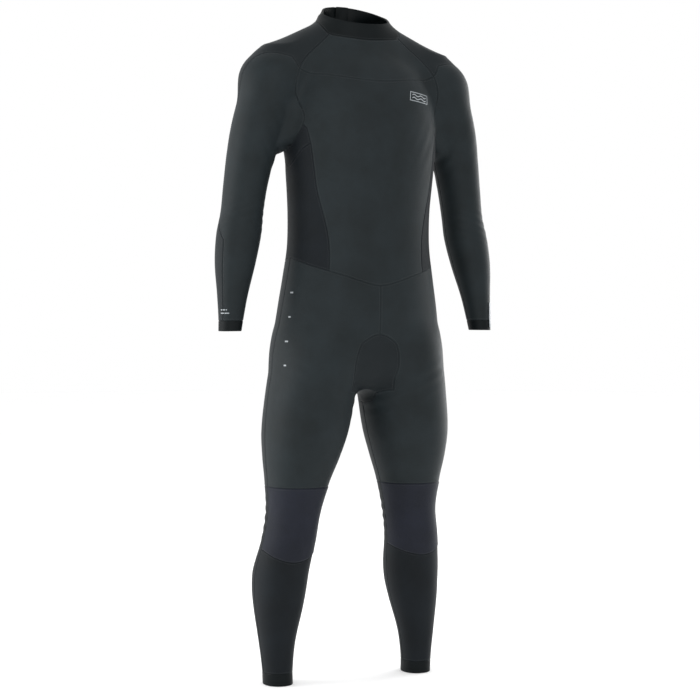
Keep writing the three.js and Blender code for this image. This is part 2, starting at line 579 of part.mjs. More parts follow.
// Collar: a tab stitched at one end, closing over the top of the zip, and the patch it grips.
const CLOSURE_Z = COLLAR_RIM[0] + 10; // height of the tab's middle, a little under the rim
const onCollar = (x, z) => {
  const p = reach([x, 240, z], [0, -1, 0], -1);
  return { p, n: unit([outward(p)[0], outward(p)[1], 0]) };
};
const onCollarRows = (rows, across) => rows.map((z) => across.map((x) => onCollar(x, z)));
plate('collar_loop_patch', onCollarRows(steps(CLOSURE_Z + 6, CLOSURE_Z - 5, 1),
  steps(-50, -13, 5).reverse()), 0.9, 0.6, TAPE);
plate('collar_tab', onCollarRows(steps(CLOSURE_Z + 8, CLOSURE_Z - 8, 1),
  steps(42, -44, 10)), 1.9, 1.8, SMOOTH);

// Prints and the loop at the left wrist.
const turned = (x, z, cx, cz, deg) => {
  const a = deg * Math.PI / 180;
  return [cx + x * Math.cos(a) - z * Math.sin(a), cz + x * Math.sin(a) + z * Math.cos(a)];
};
plate('chest_print', steps(13, -13, 2).map((z) => steps(-27, 27, 4).map((x) => {
  const [px, pz] = turned(x, z, 104, -133, -6);
  return land([px, -400, pz], [0, 1, 0]);
})), 0.4, 0.5, PRINT);
plate('hip_print', steps(-548, -714, 7).map((z) => steps(-5, 5, 1).map((w) =>
  land([-330 + w * 0.6, -120 - w, z], [0.92, 0.4, 0]))), 0.4, 0.5, PRINT);
plate('wrist_print', steps(-588, -602, 1).map((z) => steps(-11, 11, 3).map((w) => {
  const [, cx, cy] = at(ARM, z);
  return land([-cx - 80 + w * 0.6, cy - 70 - w * 0.7, z], [0.75, 0.66, 0]);
})), 0.7, 0.5, PRINT);
plate('wrist_tab', steps(-574, -630, 3).map((z) => steps(-8, 8, 2).map((w) => {
  const [, cx, cy] = at(ARM, z);
  return land([cx + 65 + w * 0.69, cy - 62 + w * 0.72, z], [-0.72, 0.69, 0]);
})), 0.9, 1.2, TAB);

export default group;
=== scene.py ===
"""Full-length back-zip wetsuit, filled out as it is worn.

The suit is one smooth sheet of neoprene, laid over the wearer's shape, and cut along its
seams into panels. Each panel is a closed piece with its own thickness, a groove along its
glued seams and a row of stitches beside them. The back zip, the collar tab and the printed
marks are built on top. Lengths are millimetres until a mesh is made, then metres.
"""

import json
import logging
import math
from collections.abc import Callable, Sequence
from dataclasses import dataclass, field
from enum import Enum

import bmesh
import bpy
import numpy as np
from mathutils import Matrix, Vector

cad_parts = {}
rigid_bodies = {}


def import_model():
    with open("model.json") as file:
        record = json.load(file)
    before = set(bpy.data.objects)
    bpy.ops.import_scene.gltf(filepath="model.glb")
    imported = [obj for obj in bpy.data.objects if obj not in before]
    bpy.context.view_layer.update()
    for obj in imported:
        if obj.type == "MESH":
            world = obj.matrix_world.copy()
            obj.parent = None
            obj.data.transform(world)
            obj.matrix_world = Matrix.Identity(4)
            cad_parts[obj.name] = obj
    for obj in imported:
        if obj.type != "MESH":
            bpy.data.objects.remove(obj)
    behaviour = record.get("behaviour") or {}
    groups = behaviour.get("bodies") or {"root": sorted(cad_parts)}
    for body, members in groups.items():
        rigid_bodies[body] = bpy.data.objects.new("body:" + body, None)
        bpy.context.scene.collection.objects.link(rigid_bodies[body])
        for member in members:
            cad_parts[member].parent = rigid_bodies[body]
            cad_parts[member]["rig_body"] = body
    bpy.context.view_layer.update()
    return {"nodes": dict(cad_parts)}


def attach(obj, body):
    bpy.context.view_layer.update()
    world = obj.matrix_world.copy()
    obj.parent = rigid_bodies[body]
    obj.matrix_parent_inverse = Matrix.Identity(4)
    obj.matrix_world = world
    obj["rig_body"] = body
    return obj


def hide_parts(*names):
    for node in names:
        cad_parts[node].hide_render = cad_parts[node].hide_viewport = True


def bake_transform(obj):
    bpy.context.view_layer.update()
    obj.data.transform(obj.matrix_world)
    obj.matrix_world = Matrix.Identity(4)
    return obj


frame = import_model()
log = logging.getLogger("wetsuit")
MM = 0.001
WAVE_FACTOR = 6.3  # light and dark bands of a Wave texture in one unit, at a scale of one


class Side(Enum):
    """The wearer's two sides, with the sign of X."""

    LEFT = 1
    RIGHT = -1

    @property
    def word(self) -> str:
        """The side's name as the bodies and nodes spell it."""
        return self.name.lower()


class EdgeKind(Enum):
    """What lies along an edge of a panel: its value is how deep the edge sinks, in mm."""

    SEAM = 1.0
    HEM = 0.6
    SPLIT = 0.0


# ------------------------------------------------------------------------ finishes


def linear(hexcode: str) -> tuple[float, float, float, float]:
    """Turn an sRGB hex colour into Blender's linear colour.

    Args:
        hexcode: six hex digits, with or without a leading hash.

    Returns:
        Linear red, green and blue, and an alpha of one.
    """
    parts = [int(hexcode.lstrip("#")[i : i + 2], 16) / 255 for i in (0, 2, 4)]
    r, g, b = (c / 12.92 if c <= 0.04045 else ((c + 0.055) / 1.055) ** 2.4 for c in parts)
    return r, g, b, 1.0


def add_node(
    tree: bpy.types.NodeTree,
    kind: str,
    settings: dict[str, object] | None = None,
    inputs: dict[str | int, object] | None = None,
) -> bpy.types.Node:
    """Add one shader node.

    Args:
        tree: the material's node tree.
        kind: the node's type name.
        settings: the node's own properties.
        inputs: socket values, or output sockets to link from.

    Returns:
        The new node.
    """
    node = tree.nodes.new(kind)
    for name, value in (settings or {}).items():
        setattr(node, name, value)
    for name, value in (inputs or {}).items():
        if isinstance(value, bpy.types.NodeSocket):
            tree.links.new(value, node.inputs[name])
        else:
            node.inputs[name].default_value = value
    return node


def wave_scale(band_mm: float) -> float:
    """Scale a Wave texture by the width of one light or dark band.

    Args:
        band_mm: the band's width.

    Returns:
        The texture's scale.
    """
    return 1000 / (WAVE_FACTOR * band_mm)


def shader(name: str) -> tuple[bpy.types.Material, bpy.types.Node]:
    """Make a material with nothing but its principled shader and output.

    Args:
        name: the material's name.

    Returns:
        The material and its principled shader.
    """
    material = bpy.data.materials.new(name)
    material.use_nodes = True
    material.node_tree.nodes.clear()
    surface = add_node(material.node_tree, "ShaderNodeBsdfPrincipled")
    add_node(
        material.node_tree, "ShaderNodeOutputMaterial", None, {"Surface": surface.outputs[0]}
    )
    return material, surface


@dataclass(frozen=True)
class KnitNeoprene:
    """Foam neoprene faced with nylon jersey: matt, with a fine grain and a soft light edge.

    The real knit's stitches are about 0.4 mm apart, too fine to see from where a whole suit
    is seen, so the grain is drawn at `grain_mm`.
    """

    name: str
    colour: str
    worn: str
    roughness: float = 0.62
    sheen: float = 0.06
    grain_mm: float = 1.6
    relief: float = 0.25

    def build(self) -> bpy.types.Material:
        """Make the fabric's material, its pattern tied to the cloth's rest shape."""
        material, surface = shader(self.name)
        tree = material.node_tree
        cloth = add_node(tree, "ShaderNodeAttribute", {"attribute_name": "rest"})
        at = cloth.outputs["Vector"]
        # uneven dye and rubbing, in patches about 70 mm and 9 mm across
        patch = add_node(tree, "ShaderNodeTexNoise", None,
                         {"Vector": at, "Scale": 14.0, "Detail": 3.0, "Roughness": 0.55})
        lint = add_node(tree, "ShaderNodeTexNoise", None,
                        {"Vector": at, "Scale": 110.0, "Detail": 4.0, "Roughness": 0.7})
        both = add_node(tree, "ShaderNodeMath", {"operation": "MULTIPLY_ADD"},
                        {0: lint.outputs[0], 1: 0.35, 2: patch.outputs[0]})
        spread = add_node(tree, "ShaderNodeMapRange", None,
                          {"Value": both.outputs[0], "From Min": 0.45, "From Max": 0.9})
        tone = add_node(tree, "ShaderNodeMix", {"data_type": "RGBA"},
                        {0: spread.outputs[0], 6: linear(self.colour), 7: linear(self.worn)})
        tree.links.new(tone.outputs[2], surface.inputs["Base Color"])
        rough = add_node(tree, "ShaderNodeMapRange", None,
                         {"Value": lint.outputs[0], "To Min": self.roughness - 0.06,
                          "To Max": self.roughness + 0.08})
        tree.links.new(rough.outputs[0], surface.inputs["Roughness"])
        # knitted loops: small round cells with a finer rib across them
        cells = add_node(tree, "ShaderNodeTexVoronoi", {"feature": "F1"},
                         {"Vector": at, "Scale": 1000.0 / self.grain_mm})
        rib = add_node(tree, "ShaderNodeTexWave", {"bands_direction": "Z"},
                       {"Vector": at, "Scale": wave_scale(self.grain_mm),
                        "Distortion": 1.0, "Detail": 1.0})
        height = add_node(tree, "ShaderNodeMath", {"operation": "MULTIPLY_ADD"},
                          {0: rib.outputs[0], 1: 0.5, 2: cells.outputs[0]})
        bump = add_node(tree, "ShaderNodeBump", None,
                        {"Height": height.outputs[0], "Strength": self.relief,
                         "Distance": 0.0004})
        tree.links.new(bump.outputs[0], surface.inputs["Normal"])
        surface.inputs["IOR"].default_value = 1.5
        surface.inputs["Specular IOR Level"].default_value = 0.16
        surface.inputs["Sheen Weight"].default_value = self.sheen
        surface.inputs["Sheen Roughness"].default_value = 0.45
        surface.inputs["Sheen Tint"].default_value = linear("#c8d0d4")
        return material


@dataclass(frozen=True)
class SmoothSkin:
    """Neoprene left with its moulded skin: satin rubber with a faint leathery grain."""

    name: str
    colour: str
    haze: str
    roughness: float = 0.5

    def build(self) -> bpy.types.Material:
        """Make the bare rubber's material."""
        material, surface = shader(self.name)
        tree = material.node_tree
        cloth = add_node(tree, "ShaderNodeAttribute", {"attribute_name": "rest"})
        skin = add_node(tree, "ShaderNodeTexVoronoi", {"feature": "DISTANCE_TO_EDGE"},
                        {"Vector": cloth.outputs["Vector"], "Scale": 620.0})
        rubbed = add_node(tree, "ShaderNodeTexNoise", None,
                          {"Vector": cloth.outputs["Vector"], "Scale": 60.0, "Detail": 4.0})
        tone = add_node(tree, "ShaderNodeMix", {"data_type": "RGBA"},
                        {0: rubbed.outputs[0], 6: linear(self.colour), 7: linear(self.haze)})
        tree.links.new(tone.outputs[2], surface.inputs["Base Color"])
        rough = add_node(tree, "ShaderNodeMapRange", None,
                         {"Value": rubbed.outputs[0], "To Min": self.roughness - 0.07,
                          "To Max": self.roughness + 0.1})
        tree.links.new(rough.outputs[0], surface.inputs["Roughness"])
        bump = add_node(tree, "ShaderNodeBump", None,
                        {"Height": skin.outputs[0], "Strength": 0.3, "Distance": 0.0003})
        tree.links.new(bump.outputs[0], surface.inputs["Normal"])
        surface.inputs["IOR"].default_value = 1.52
        surface.inputs["Specular IOR Level"].default_value = 0.09
        return material


@dataclass(frozen=True)
class WovenTape:
    """Flat woven polyester tape: matt, ribbed across its width."""

    name: str
    colour: str
    crown: str
    pitch_mm: float = 0.9
    roughness: float = 0.8

    def build(self) -> bpy.types.Material:
        """Make the woven tape's material."""
        material, surface = shader(self.name)
        tree = material.node_tree
        here = add_node(tree, "ShaderNodeTexCoord")
        rows, cross = (
            add_node(tree, "ShaderNodeTexWave", {"bands_direction": axis},
                     {"Vector": here.outputs["Object"], "Distortion": 0.6,
                      "Scale": wave_scale(self.pitch_mm)})
            for axis in "ZX")
        weave = add_node(tree, "ShaderNodeMath", {"operation": "MULTIPLY"},
                         {0: rows.outputs[0], 1: cross.outputs[0]})
        tone = add_node(tree, "ShaderNodeMix", {"data_type": "RGBA"},
                        {0: weave.outputs[0], 6: linear(self.colour), 7: linear(self.crown)})
        tree.links.new(tone.outputs[2], surface.inputs["Base Color"])
        bump = add_node(tree, "ShaderNodeBump", None,
                        {"Height": weave.outputs[0], "Strength": 0.5, "Distance": 0.0002})
        tree.links.new(bump.outputs[0], surface.inputs["Normal"])
        surface.inputs["Roughness"].default_value = self.roughness
        surface.inputs["Sheen Weight"].default_value = 0.2
        return material


@dataclass(frozen=True)
class HardPart:
    """Small hard parts and thin films: moulded acetal, plated zinc, printed or silvery film."""

    name: str
    colour: str
    roughness: float
    metallic: float = 0.0
    mottle: float = 0.1
    size_mm: float = 2.0

    def build(self) -> bpy.types.Material:
        """Make the material, its gloss a little uneven from handling."""
        material, surface = shader(self.name)
        tree = material.node_tree
        here = add_node(tree, "ShaderNodeTexCoord")
        wear = add_node(tree, "ShaderNodeTexNoise", None,
                        {"Vector": here.outputs["Object"], "Scale": 1000.0 / self.size_mm,
                         "Detail": 5.0})
        rough = add_node(tree, "ShaderNodeMapRange", None,
                         {"Value": wear.outputs[0], "To Min": self.roughness - self.mottle,
                          "To Max": self.roughness + self.mottle})
        tree.links.new(rough.outputs[0], surface.inputs["Roughness"])
        deep = tuple(0.8 * c for c in linear(self.colour)[:3]) + (1.0,)
        tone = add_node(tree, "ShaderNodeMix", {"data_type": "RGBA"},
                        {0: wear.outputs[0], 6: deep, 7: linear(self.colour)})
        tree.links.new(tone.outputs[2], surface.inputs["Base Color"])
        surface.inputs["Metallic"].default_value = self.metallic
        return material


@dataclass(frozen=True)
class StudioPaper:
    """White seamless paper for the floor."""

    name: str = "studio_paper"
    colour: str = "#ffffff"

    def build(self) -> bpy.types.Material:
        """Make the paper's material."""
        material, surface = shader(self.name)
        surface.inputs["Base Color"].default_value = linear(self.colour)
        surface.inputs["Roughness"].default_value = 0.9
        return material


FINISHES = {
    "jersey": KnitNeoprene("nylon_jersey_on_neoprene", "#12181a", "#192023"),
    # the next finish is the same jersey made darker: painted shade for the lumbar, back,
    # sleeve-back, seat, crotch and back-of-thigh panels
    "jersey_side": KnitNeoprene("stretch_jersey_on_neoprene", "#0d1316", "#13191c"),
    # the next finish is the jersey darker still, with less sheen: painted deep shade for the
    # underarm, side, shin and calf panels
    "jersey_painted_deep_shade": KnitNeoprene("close_jersey_on_neoprene", "#060b0f", "#0c1217", 0.66, 0.03),
    "knee_pad": KnitNeoprene("aramid_knit_on_neoprene", "#12151d", "#181b25", 0.66, 0.06,
                             2.2, 0.4),
    "thread": HardPart("polyester_thread", "#2b3033", 0.7),
    "smooth_skin": SmoothSkin("smooth_skin_neoprene", "#060a0b", "#0d1214"),
    "zip_tape": WovenTape("woven_polyester_tape", "#0e1113", "#1a1e21"),
    "zip_chain": HardPart("moulded_acetal", "#191b1d", 0.38),
    "zip_metal": HardPart("plated_zinc", "#5a5e62", 0.3, 0.9),
    "print": HardPart("printed_film", "#8f9599", 0.5),
    "wrist_tab": WovenTape("silver_woven_tape", "#70757a", "#9da2a6", 1.1, 0.5),
}
MATERIALS: dict[str, bpy.types.Material] = {}


def dress(piece: bpy.types.Object, *finishes: str) -> None:
    """Give a piece its finishes, as its materials.

    Args:
        piece: the piece.
        finishes: names from FINISHES, in the order of the mesh's material numbers.
    """
    for name in finishes:
        if name not in MATERIALS:
            MATERIALS[name] = FINISHES[name].build()
        piece.data.materials.append(MATERIALS[name])


# ------------------------------------------------------------------------ the wearer


def oval(dx: np.ndarray, dy: np.ndarray, rx: np.ndarray, ry: np.ndarray, n: float) -> np.ndarray:
    """How far points lie outside a rounded oval, negative inside it."""
    r = (np.abs(dx / rx) ** n + np.abs(dy / ry) ** n) ** (1 / n)
    return (r - 1) * np.minimum(rx, ry)


def melt(a: np.ndarray, b: np.ndarray, k: float) -> np.ndarray:
    """Join two shapes with a soft web about `k` mm wide."""
    h = np.maximum(k - np.abs(a - b), 0) / k
    return np.minimum(a, b) - h * h * k / 4


def ease(t: np.ndarray | float) -> np.ndarray | float:
    """Run smoothly from 0 to 1 as t does."""
    u = np.clip(t, 0, 1)
    return u * u * (3 - 2 * u)


@dataclass
class Wearer:
    """The body the suit is filled out by, as stations down the trunk, neck, arms and legs."""

    # height, half width, front, back
    trunk: np.ndarray = field(default_factory=lambda: np.array([
        [40, 62, -48, 78], [0, 84, -60, 79], [-40, 122, -80, 80], [-80, 148, -104, 81],
        [-130, 164, -125, 83], [-190, 170, -139, 84.5], [-250, 168, -144, 86],
        [-310, 163, -141, 88], [-383, 158, -134, 90], [-455, 159, -132, 92],
        [-520, 168, -134, 99], [-590, 179, -135, 106], [-650, 186, -130, 110],
        [-705, 181, -116, 104], [-738, 150, -94, 88], [-760, 96, -58, 60]], float))
    # height, axis x, axis y, half width, half depth
    arm: np.ndarray = field(default_factory=lambda: np.array([
        [-44, 184, -4, 12, 16], [-58, 191, -5, 36, 40], [-72, 197, -6, 48, 52],
        [-92, 204, -8, 54.5, 58.5], [-140, 219, -11, 53, 61], [-200, 235, -9, 52, 59],
        [-260, 247, -5, 49, 55], [-330, 258, -3, 46, 50],
        [-383, 265, -3, 45, 47], [-430, 273, -5, 47.5, 48], [-490, 283, -10, 43, 45],
        [-560, 292, -17, 32, 34], [-610, 297, -21, 26, 28], [-636, 300, -23, 24, 26]], float))
    leg: np.ndarray = field(default_factory=lambda: np.array([
        [-600, 88, -13, 56, 74], [-640, 92, -13, 83, 104], [-700, 99, -13, 93, 112],
        [-780, 111, -9, 95, 104], [-854, 121, -5, 92, 99], [-910, 128, 0, 82, 88],
        [-964, 134, 8, 69, 75], [-1030, 140, 17, 58, 64], [-1095, 149, 23, 57.5, 63],
        [-1160, 158, 42, 60, 66], [-1200, 161, 46, 58, 65], [-1240, 164, 44, 53, 58],
        [-1314, 169, 39, 39.5, 43], [-1370, 169, 37, 33, 37], [-1408, 168, 37, 32, 36]],
        float))
    neck: np.ndarray = field(default_factory=lambda: np.array([
        [104, 0, 8, 65, 65.5], [40, 0, 11, 68, 67], [-30, 0, 12, 70, 66]], float))
    shoulder_from: tuple[float, float, float] = (0, 14, 9)
    shoulder_to: tuple[float, float, float] = (197, -4, -85)
    shoulder_radius: tuple[float, float] = (61, 59)
    # how square the sections are: 2 is an ellipse
    trunk_square: float = 2.35
    leg_square: float = 2.15
    limb_square: float = 2.1
    # how wide the soft webs are where the body's parts meet
    neck_web: float = 30
    crotch_web: float = 40
    hip_web: float = 24
    armpit_web: float = 46
    past_hem: float = 5
    longest_ray: float = 900
    halvings: int = 22

    def read(self, table: np.ndarray, z: np.ndarray) -> np.ndarray:
        """Read a station table at some heights, with a smooth curve through the stations.

        Args:
            table: the stations, top to bottom.
            z: the heights.

        Returns:
            One row of station values for each height.
        """
        last = len(table) - 1
        i = np.minimum(np.searchsorted(-table[1:, 0], -z, side="left"), last - 1)
        a, b = table[i], table[i + 1]
        p, q = table[np.maximum(i - 1, 0)], table[np.minimum(i + 2, last)]
        run = (b[:, 0] - a[:, 0])[:, None]
        t = np.clip((z - a[:, 0]) / run[:, 0], 0, 1)[:, None]
        before, after = (b - p) / (b - p)[:, :1], (q - a) / (q - a)[:, :1]
        m0 = np.where((i == 0)[:, None], b - a, before * run)
        m1 = np.where((i + 2 > last)[:, None], b - a, after * run)
        t2, t3 = t * t, t * t * t
        return ((2 * t3 - 3 * t2 + 1) * a + (t3 - 2 * t2 + t) * m0
                + (3 * t2 - 2 * t3) * b + (t3 - t2) * m1)

    def limb(self, table: np.ndarray, p: np.ndarray) -> np.ndarray:
        """How far points lie outside the nearer limb of a table."""
        s = self.read(table, p[:, 2])
        side = oval(np.abs(p[:, 0]) - s[:, 1], p[:, 1] - s[:, 2], s[:, 3], s[:, 4],
                    self.limb_square)
        foot = table[-1, 0] - self.past_hem
        return np.maximum(np.maximum(side, p[:, 2] - table[0, 0]), foot - p[:, 2])

    def ridge(self, p: np.ndarray) -> np.ndarray:
        """How far points lie outside the ridge from the neck to the shoulder."""
        start = np.array(self.shoulder_from, float)
        axis = np.array(self.shoulder_to, float) - start
        q = np.abs(p * [1, 0, 0]) + p * [0, 1, 1] - start
        t = np.clip(q @ axis / (axis @ axis), 0, 1)
        r0, r1 = self.shoulder_radius
        return np.linalg.norm(q - t[:, None] * axis, axis=1) - (r0 + (r1 - r0) * t)

    def value(self, p: np.ndarray) -> np.ndarray:
        """Below zero inside the body and above it outside, in mm near its surface."""
        x, y, z = p.T
        s = self.read(self.trunk, z)
        trunk = oval(x, y - (s[:, 2] + s[:, 3]) / 2, s[:, 1], (s[:, 3] - s[:, 2]) / 2,
                     self.trunk_square)
        trunk = np.maximum(np.maximum(trunk, z - self.trunk[0, 0]), self.trunk[-1, 0] - z)
        neck = melt(trunk, self.limb(self.neck, p), self.neck_web)
        top = melt(neck, self.ridge(p), self.neck_web)
        g = self.read(self.leg, z)
        legs = [np.maximum(oval(x - k * g[:, 1], y - g[:, 2], g[:, 3], g[:, 4],
                                self.leg_square), z - self.leg[0, 0]) for k in (1, -1)]
        lower = melt(melt(*legs, self.crotch_web), top, self.hip_web)
        return melt(lower, self.limb(self.arm, p), self.armpit_web)

    def slope(self, p: np.ndarray) -> np.ndarray:
        """The body's value rises along this vector, one row for each point."""
        probe = 0.4
        return np.stack([(self.value(p + e) - self.value(p - e)) / (2 * probe)
                         for e in np.eye(3) * probe], 1)

    def reach(self, start: np.ndarray, way: np.ndarray, leaving: bool = True,
              step: float = 3.0) -> np.ndarray:
        """Follow rays to where they first leave the body, or first enter it.

        Args:
            start: where the rays start, one row each.
            way: which way they go.
            leaving: follow them until they leave; otherwise until they enter.
            step: how far each first step goes.

        Returns:
            The points that the rays reach.
        """
        start = np.atleast_2d(np.asarray(start, float))
        way = np.broadcast_to(np.atleast_2d(np.asarray(way, float)), start.shape)
        way = way / np.linalg.norm(way, axis=1)[:, None]
        sign = 1 if leaving else -1
        far = np.zeros(len(start))
        for _ in range(int(self.longest_ray / step)):
            going = sign * self.value(start + way * far[:, None]) <= 0
            if not going.any():
                break
            far = far + step * going
        low, high = far - step, far
        for _ in range(self.halvings):
            mid = (low + high) / 2
            inside = sign * self.value(start + way * mid[:, None]) <= 0
            low, high = np.where(inside, mid, low), np.where(inside, high, mid)
        return start + way * low[:, None]

    def settle(self, p: np.ndarray, level: np.ndarray) -> np.ndarray:
        """Move points onto the body's surface.

        Args:
            p: the points.
            level: which points keep their height.

        Returns:
            The points on the surface.
        """
        for _ in range(3):
            g = self.slope(p)
            g[level, 2] = 0
            size = np.maximum((g * g).sum(1), 0.05)
            p = p - g * np.clip(self.value(p) / size, -5, 5)[:, None]
        return p


# ------------------------------------------------------------------------ the cut


@dataclass
class Cut:
    """How the suit is cut: where its seams run over the wearer, and what each panel is."""

    wearer: Wearer
    spread: tuple[float, ...] = (0, 0.26, 0.52, 0.77, 1)
    raglan_front: tuple = ((80, 3), (112, -26), (146, -52), (166, -82), (171, -112),
                           (168, -142), (160, -168), (151, -190))
    raglan_back: tuple = ((76, 42), (108, 12), (138, -26), (158, -64), (167, -100),
                          (166, -136), (160, -166), (151, -192))
    ridge: tuple = ((96, 46), (122, 29), (150, 10), (180, -7), (212, -24), (243, -54),
                    (266, -112), (284, -185))
    chest_z: tuple = (-6, -38, -72, -105, -130, -155, -178, -200)
    back_z: tuple = (48, 8, -35, -75, -110, -145, -175, -205)
    yoke_row: int = 3
    # heights at the centre front, the princess seam, the side, the back seam and the back
    trunk_rows: tuple = (
        (-200, -190, -245, -192, -205), (-222, -210, -266, -212, -228),
        (-246, -232, -292, -234, -252), (-278, -266, -316, -268, -284),
        (-315, -305, -342, -308, -320), (-350, -342, -368, -344, -354),
        (-388, -380, -394, -380, -390), (-425, -416, -420, -416, -424),
        (-470, -446, -442, -446, -455), (-547, -515, -470, -500, -520),
        (-590, -560, -530, -545, -565), (-644, -612, -585, -595, -615),
        (-678, -656, -634, -642, -660), (-714, -697, -678, -686, -704),
        (-748, -735, -718, -727, -745))
    gusset_row: int = 2
    zip_row: int = 8
    waist_row: int = 9
    princess: tuple = (59, 57, 55, 53, 52, 50, 45, 41, 38, 36, 38, 42, 46, 50, 54)
    back_seam: tuple = (121, 124, 127, 129, 130, 132, 135, 138, 140, 140, 138, 136, 134, 132,
                        128)
    tongue: tuple = (0, 0, 0, 0, 0, 0, 0, 0, 0, 0, 0, 24, 46, 58, 48)  # its half width
    tongue_top: int = 11
    tongue_lift: tuple[int, float] = (12, 10)  # the row drawn up, and by how much
    gusset_back: int = 13
    # heights at the front, the outer side, the back and the inner side of a leg
    leg_rows: tuple = (
        (-772, -760, -772, -794), (-806, -802, -806, -822), (-848, -848, -848, -850),
        (-890,) * 4, (-932,) * 4, (-974,) * 4, (-1010, -1008, -1008, -1008),
        (-1046, -1042, -1042, -1042), (-1086, -1076, -1084, -1076),
        (-1142, -1108, -1130, -1112), (-1168, -1146, -1160, -1148),
        (-1194, -1190, -1192, -1190), (-1228,) * 4, (-1268,) * 4, (-1308,) * 4, (-1348,) * 4,
        (-1383,) * 4, (-1408,) * 4)
    thigh_split: int = 5
    pad_rows: tuple[int, int] = (6, 10)
    ankle_row: int = 17
    # heights at the outer and the inner side of a sleeve
    sleeve_rows: tuple = (
        (-228, -266), (-282, -286), (-304, -304), (-325, -325), (-352, -352), (-383, -383),
        (-414, -414), (-445, -445), (-482, -482), (-520, -520), (-558, -558), (-590, -590),
        (-614, -614), (-636, -636))
    sleeve_split: int = 4
    elbow_row: int = 6
    wrist_row: int = 13
    rim: tuple[float, float] = (58, 0.42)
    neck_axis_y: float = 12
    back_line: tuple[float, float] = (79.3, -0.028)
    zip_half: float = 9
    clear: float = 300.0  # well outside the body, front or back

    def on_back(self, z: np.ndarray | float) -> np.ndarray | float:
        """The straight back seam's depth at a height."""
        return self.back_line[0] + self.back_line[1] * z

    def upper(self) -> np.ndarray:
        """Points over the chest, the shoulders and the upper back, eight rows of seventeen."""
        grid = np.zeros((8, 17, 3))
        for r in range(8):
            fx, fz = self.raglan_front[r]
            bx, bz = self.raglan_back[r]
            k = np.array(self.spread)
            z = self.chest_z[r] + (fz - self.chest_z[r]) * k**1.6
            start = np.stack([fx * k, np.full(5, -self.clear), z], 1)
            grid[r, :5] = self.wearer.reach(start, [0, 1, 0], leaving=False)
            k = np.array([1, 0.7, 0.38, self.zip_half / bx, 0])
            z = self.back_z[r] + (bz - self.back_z[r]) * k**1.6
            start = np.stack([bx * k, np.full(5, self.clear), z], 1)
            grid[r, 12:] = self.wearer.reach(start, [0, -1, 0], leaving=False)
            grid[r, 15:, 1] = self.on_back(grid[r, 15:, 2])
            f, b = grid[r, 4], grid[r, 12]
            mid = (f + b) / 2
            lift = np.array([self.ridge[r][0], mid[1] * 0.6 + 4, self.ridge[r][1]]) - mid
            a = (np.arange(5, 12) - 4) * math.pi / 8
            guess = mid + np.outer(np.cos(a), f - mid) + np.outer(np.sin(a), lift)
            core = np.broadcast_to(mid - 0.15 * lift, guess.shape)
            grid[r, 5:12] = self.wearer.reach(core, guess - core)
        return grid

    def row(self, values: Sequence[float], c: float, stops: Sequence[float]) -> float:
        """The smooth value at column c through the values at the stops."""
        i = 0
        while i < len(stops) - 2 and c > stops[i + 1]:
            i += 1
        t = (c - stops[i]) / (stops[i + 1] - stops[i])
        return values[i] + (values[i + 1] - values[i]) * (t * t * (3 - 2 * t) * 0.5 + t * 0.5)

    def trunk(self, upper: np.ndarray) -> np.ndarray:
        """Points of the trunk below the armpits, fifteen rows of thirteen."""
        grid = np.zeros((15, 13, 3))
        grid[0, :5], grid[0, 8:] = upper[7, :5], upper[7, 12:]
        pit = np.array([[169, -50, -330], [171, -14, -330], [169, 19, -330.0]])
        grid[0, 5:8] = self.wearer.reach(pit, [0, 0, 1], leaving=False, step=1.5)
        for k in range(1, 15):
            for j in range(13):
                z = self.row(self.trunk_rows[k], j, [0, 4, 6, 8, 12])
                _, half, front, back = self.wearer.read(self.wearer.trunk, np.array([z]))[0]
                if j == 1 and self.tongue[k]:
                    lift = self.tongue_lift[1] if k == self.tongue_lift[0] else 0
                    start = [self.tongue[k], -self.clear, z + lift]
                    grid[k, j] = self.wearer.reach(start, [0, 1, 0], leaving=False)[0]
                    continue
                if j >= 11:
                    start = [self.zip_half if j == 11 else 0, self.clear, z]
                    grid[k, j] = self.wearer.reach(start, [0, -1, 0], leaving=False)[0]
                    if k <= self.zip_row:
                        grid[k, j, 1] = self.on_back(z)
                    continue
                p, b = self.princess[k], self.back_seam[k]
                deg = p * self.spread[min(j, 4)]
                if j > 4:
                    deg = p + (b - p) * (j - 4) / 4
                if j > 8:
                    deg = b + (180 - b) * (0, 0.3, 0.62)[j - 8]
                a = math.radians(deg)
                way = [half * math.sin(a), -(back - front) / 2 * math.cos(a), 0]
                grid[k, j] = self.wearer.reach([0, (front + back) / 2, z], way)[0]
        return grid

    def legs(self, trunk: np.ndarray) -> np.ndarray:
        """Points of a leg, nineteen rows of sixteen, from the hip round to the crotch."""
        grid = np.zeros((19, 16, 3))
        grid[0, :13] = trunk[14]
        crotch = np.array([[0, y, -940] for y in (42, -2, -46)], float)
        grid[0, 13:] = self.wearer.reach(crotch, [0, 0, 1], leaving=False, step=1.5)
        for m in range(1, 19):
            front, outer, back, inner = self.leg_rows[m - 1]
            start, way = np.zeros((16, 3)), np.zeros((16, 3))
            for i in range(16):
                top = grid[0, i]
                even = (i - 6) * math.pi / 8
                z = self.row([outer, back, inner, front, outer, back], (i + 10) % 16,
                             [0, 4, 8, 12, 16, 20])
                cx, cy = self.wearer.read(self.wearer.leg, np.array([z]))[0, 1:3]
                own = self.wearer.read(self.wearer.leg, top[2:3])[0]
                a = math.atan2(top[1] - own[2], top[0] - own[1])
                a += 2 * math.pi * round((even - a) / (2 * math.pi))
                a += (even - a) * ease(m / 4)
                start[i], way[i] = [cx, cy, z], [math.cos(a), math.sin(a), 0]
            grid[m] = self.wearer.reach(start, way)
        return grid

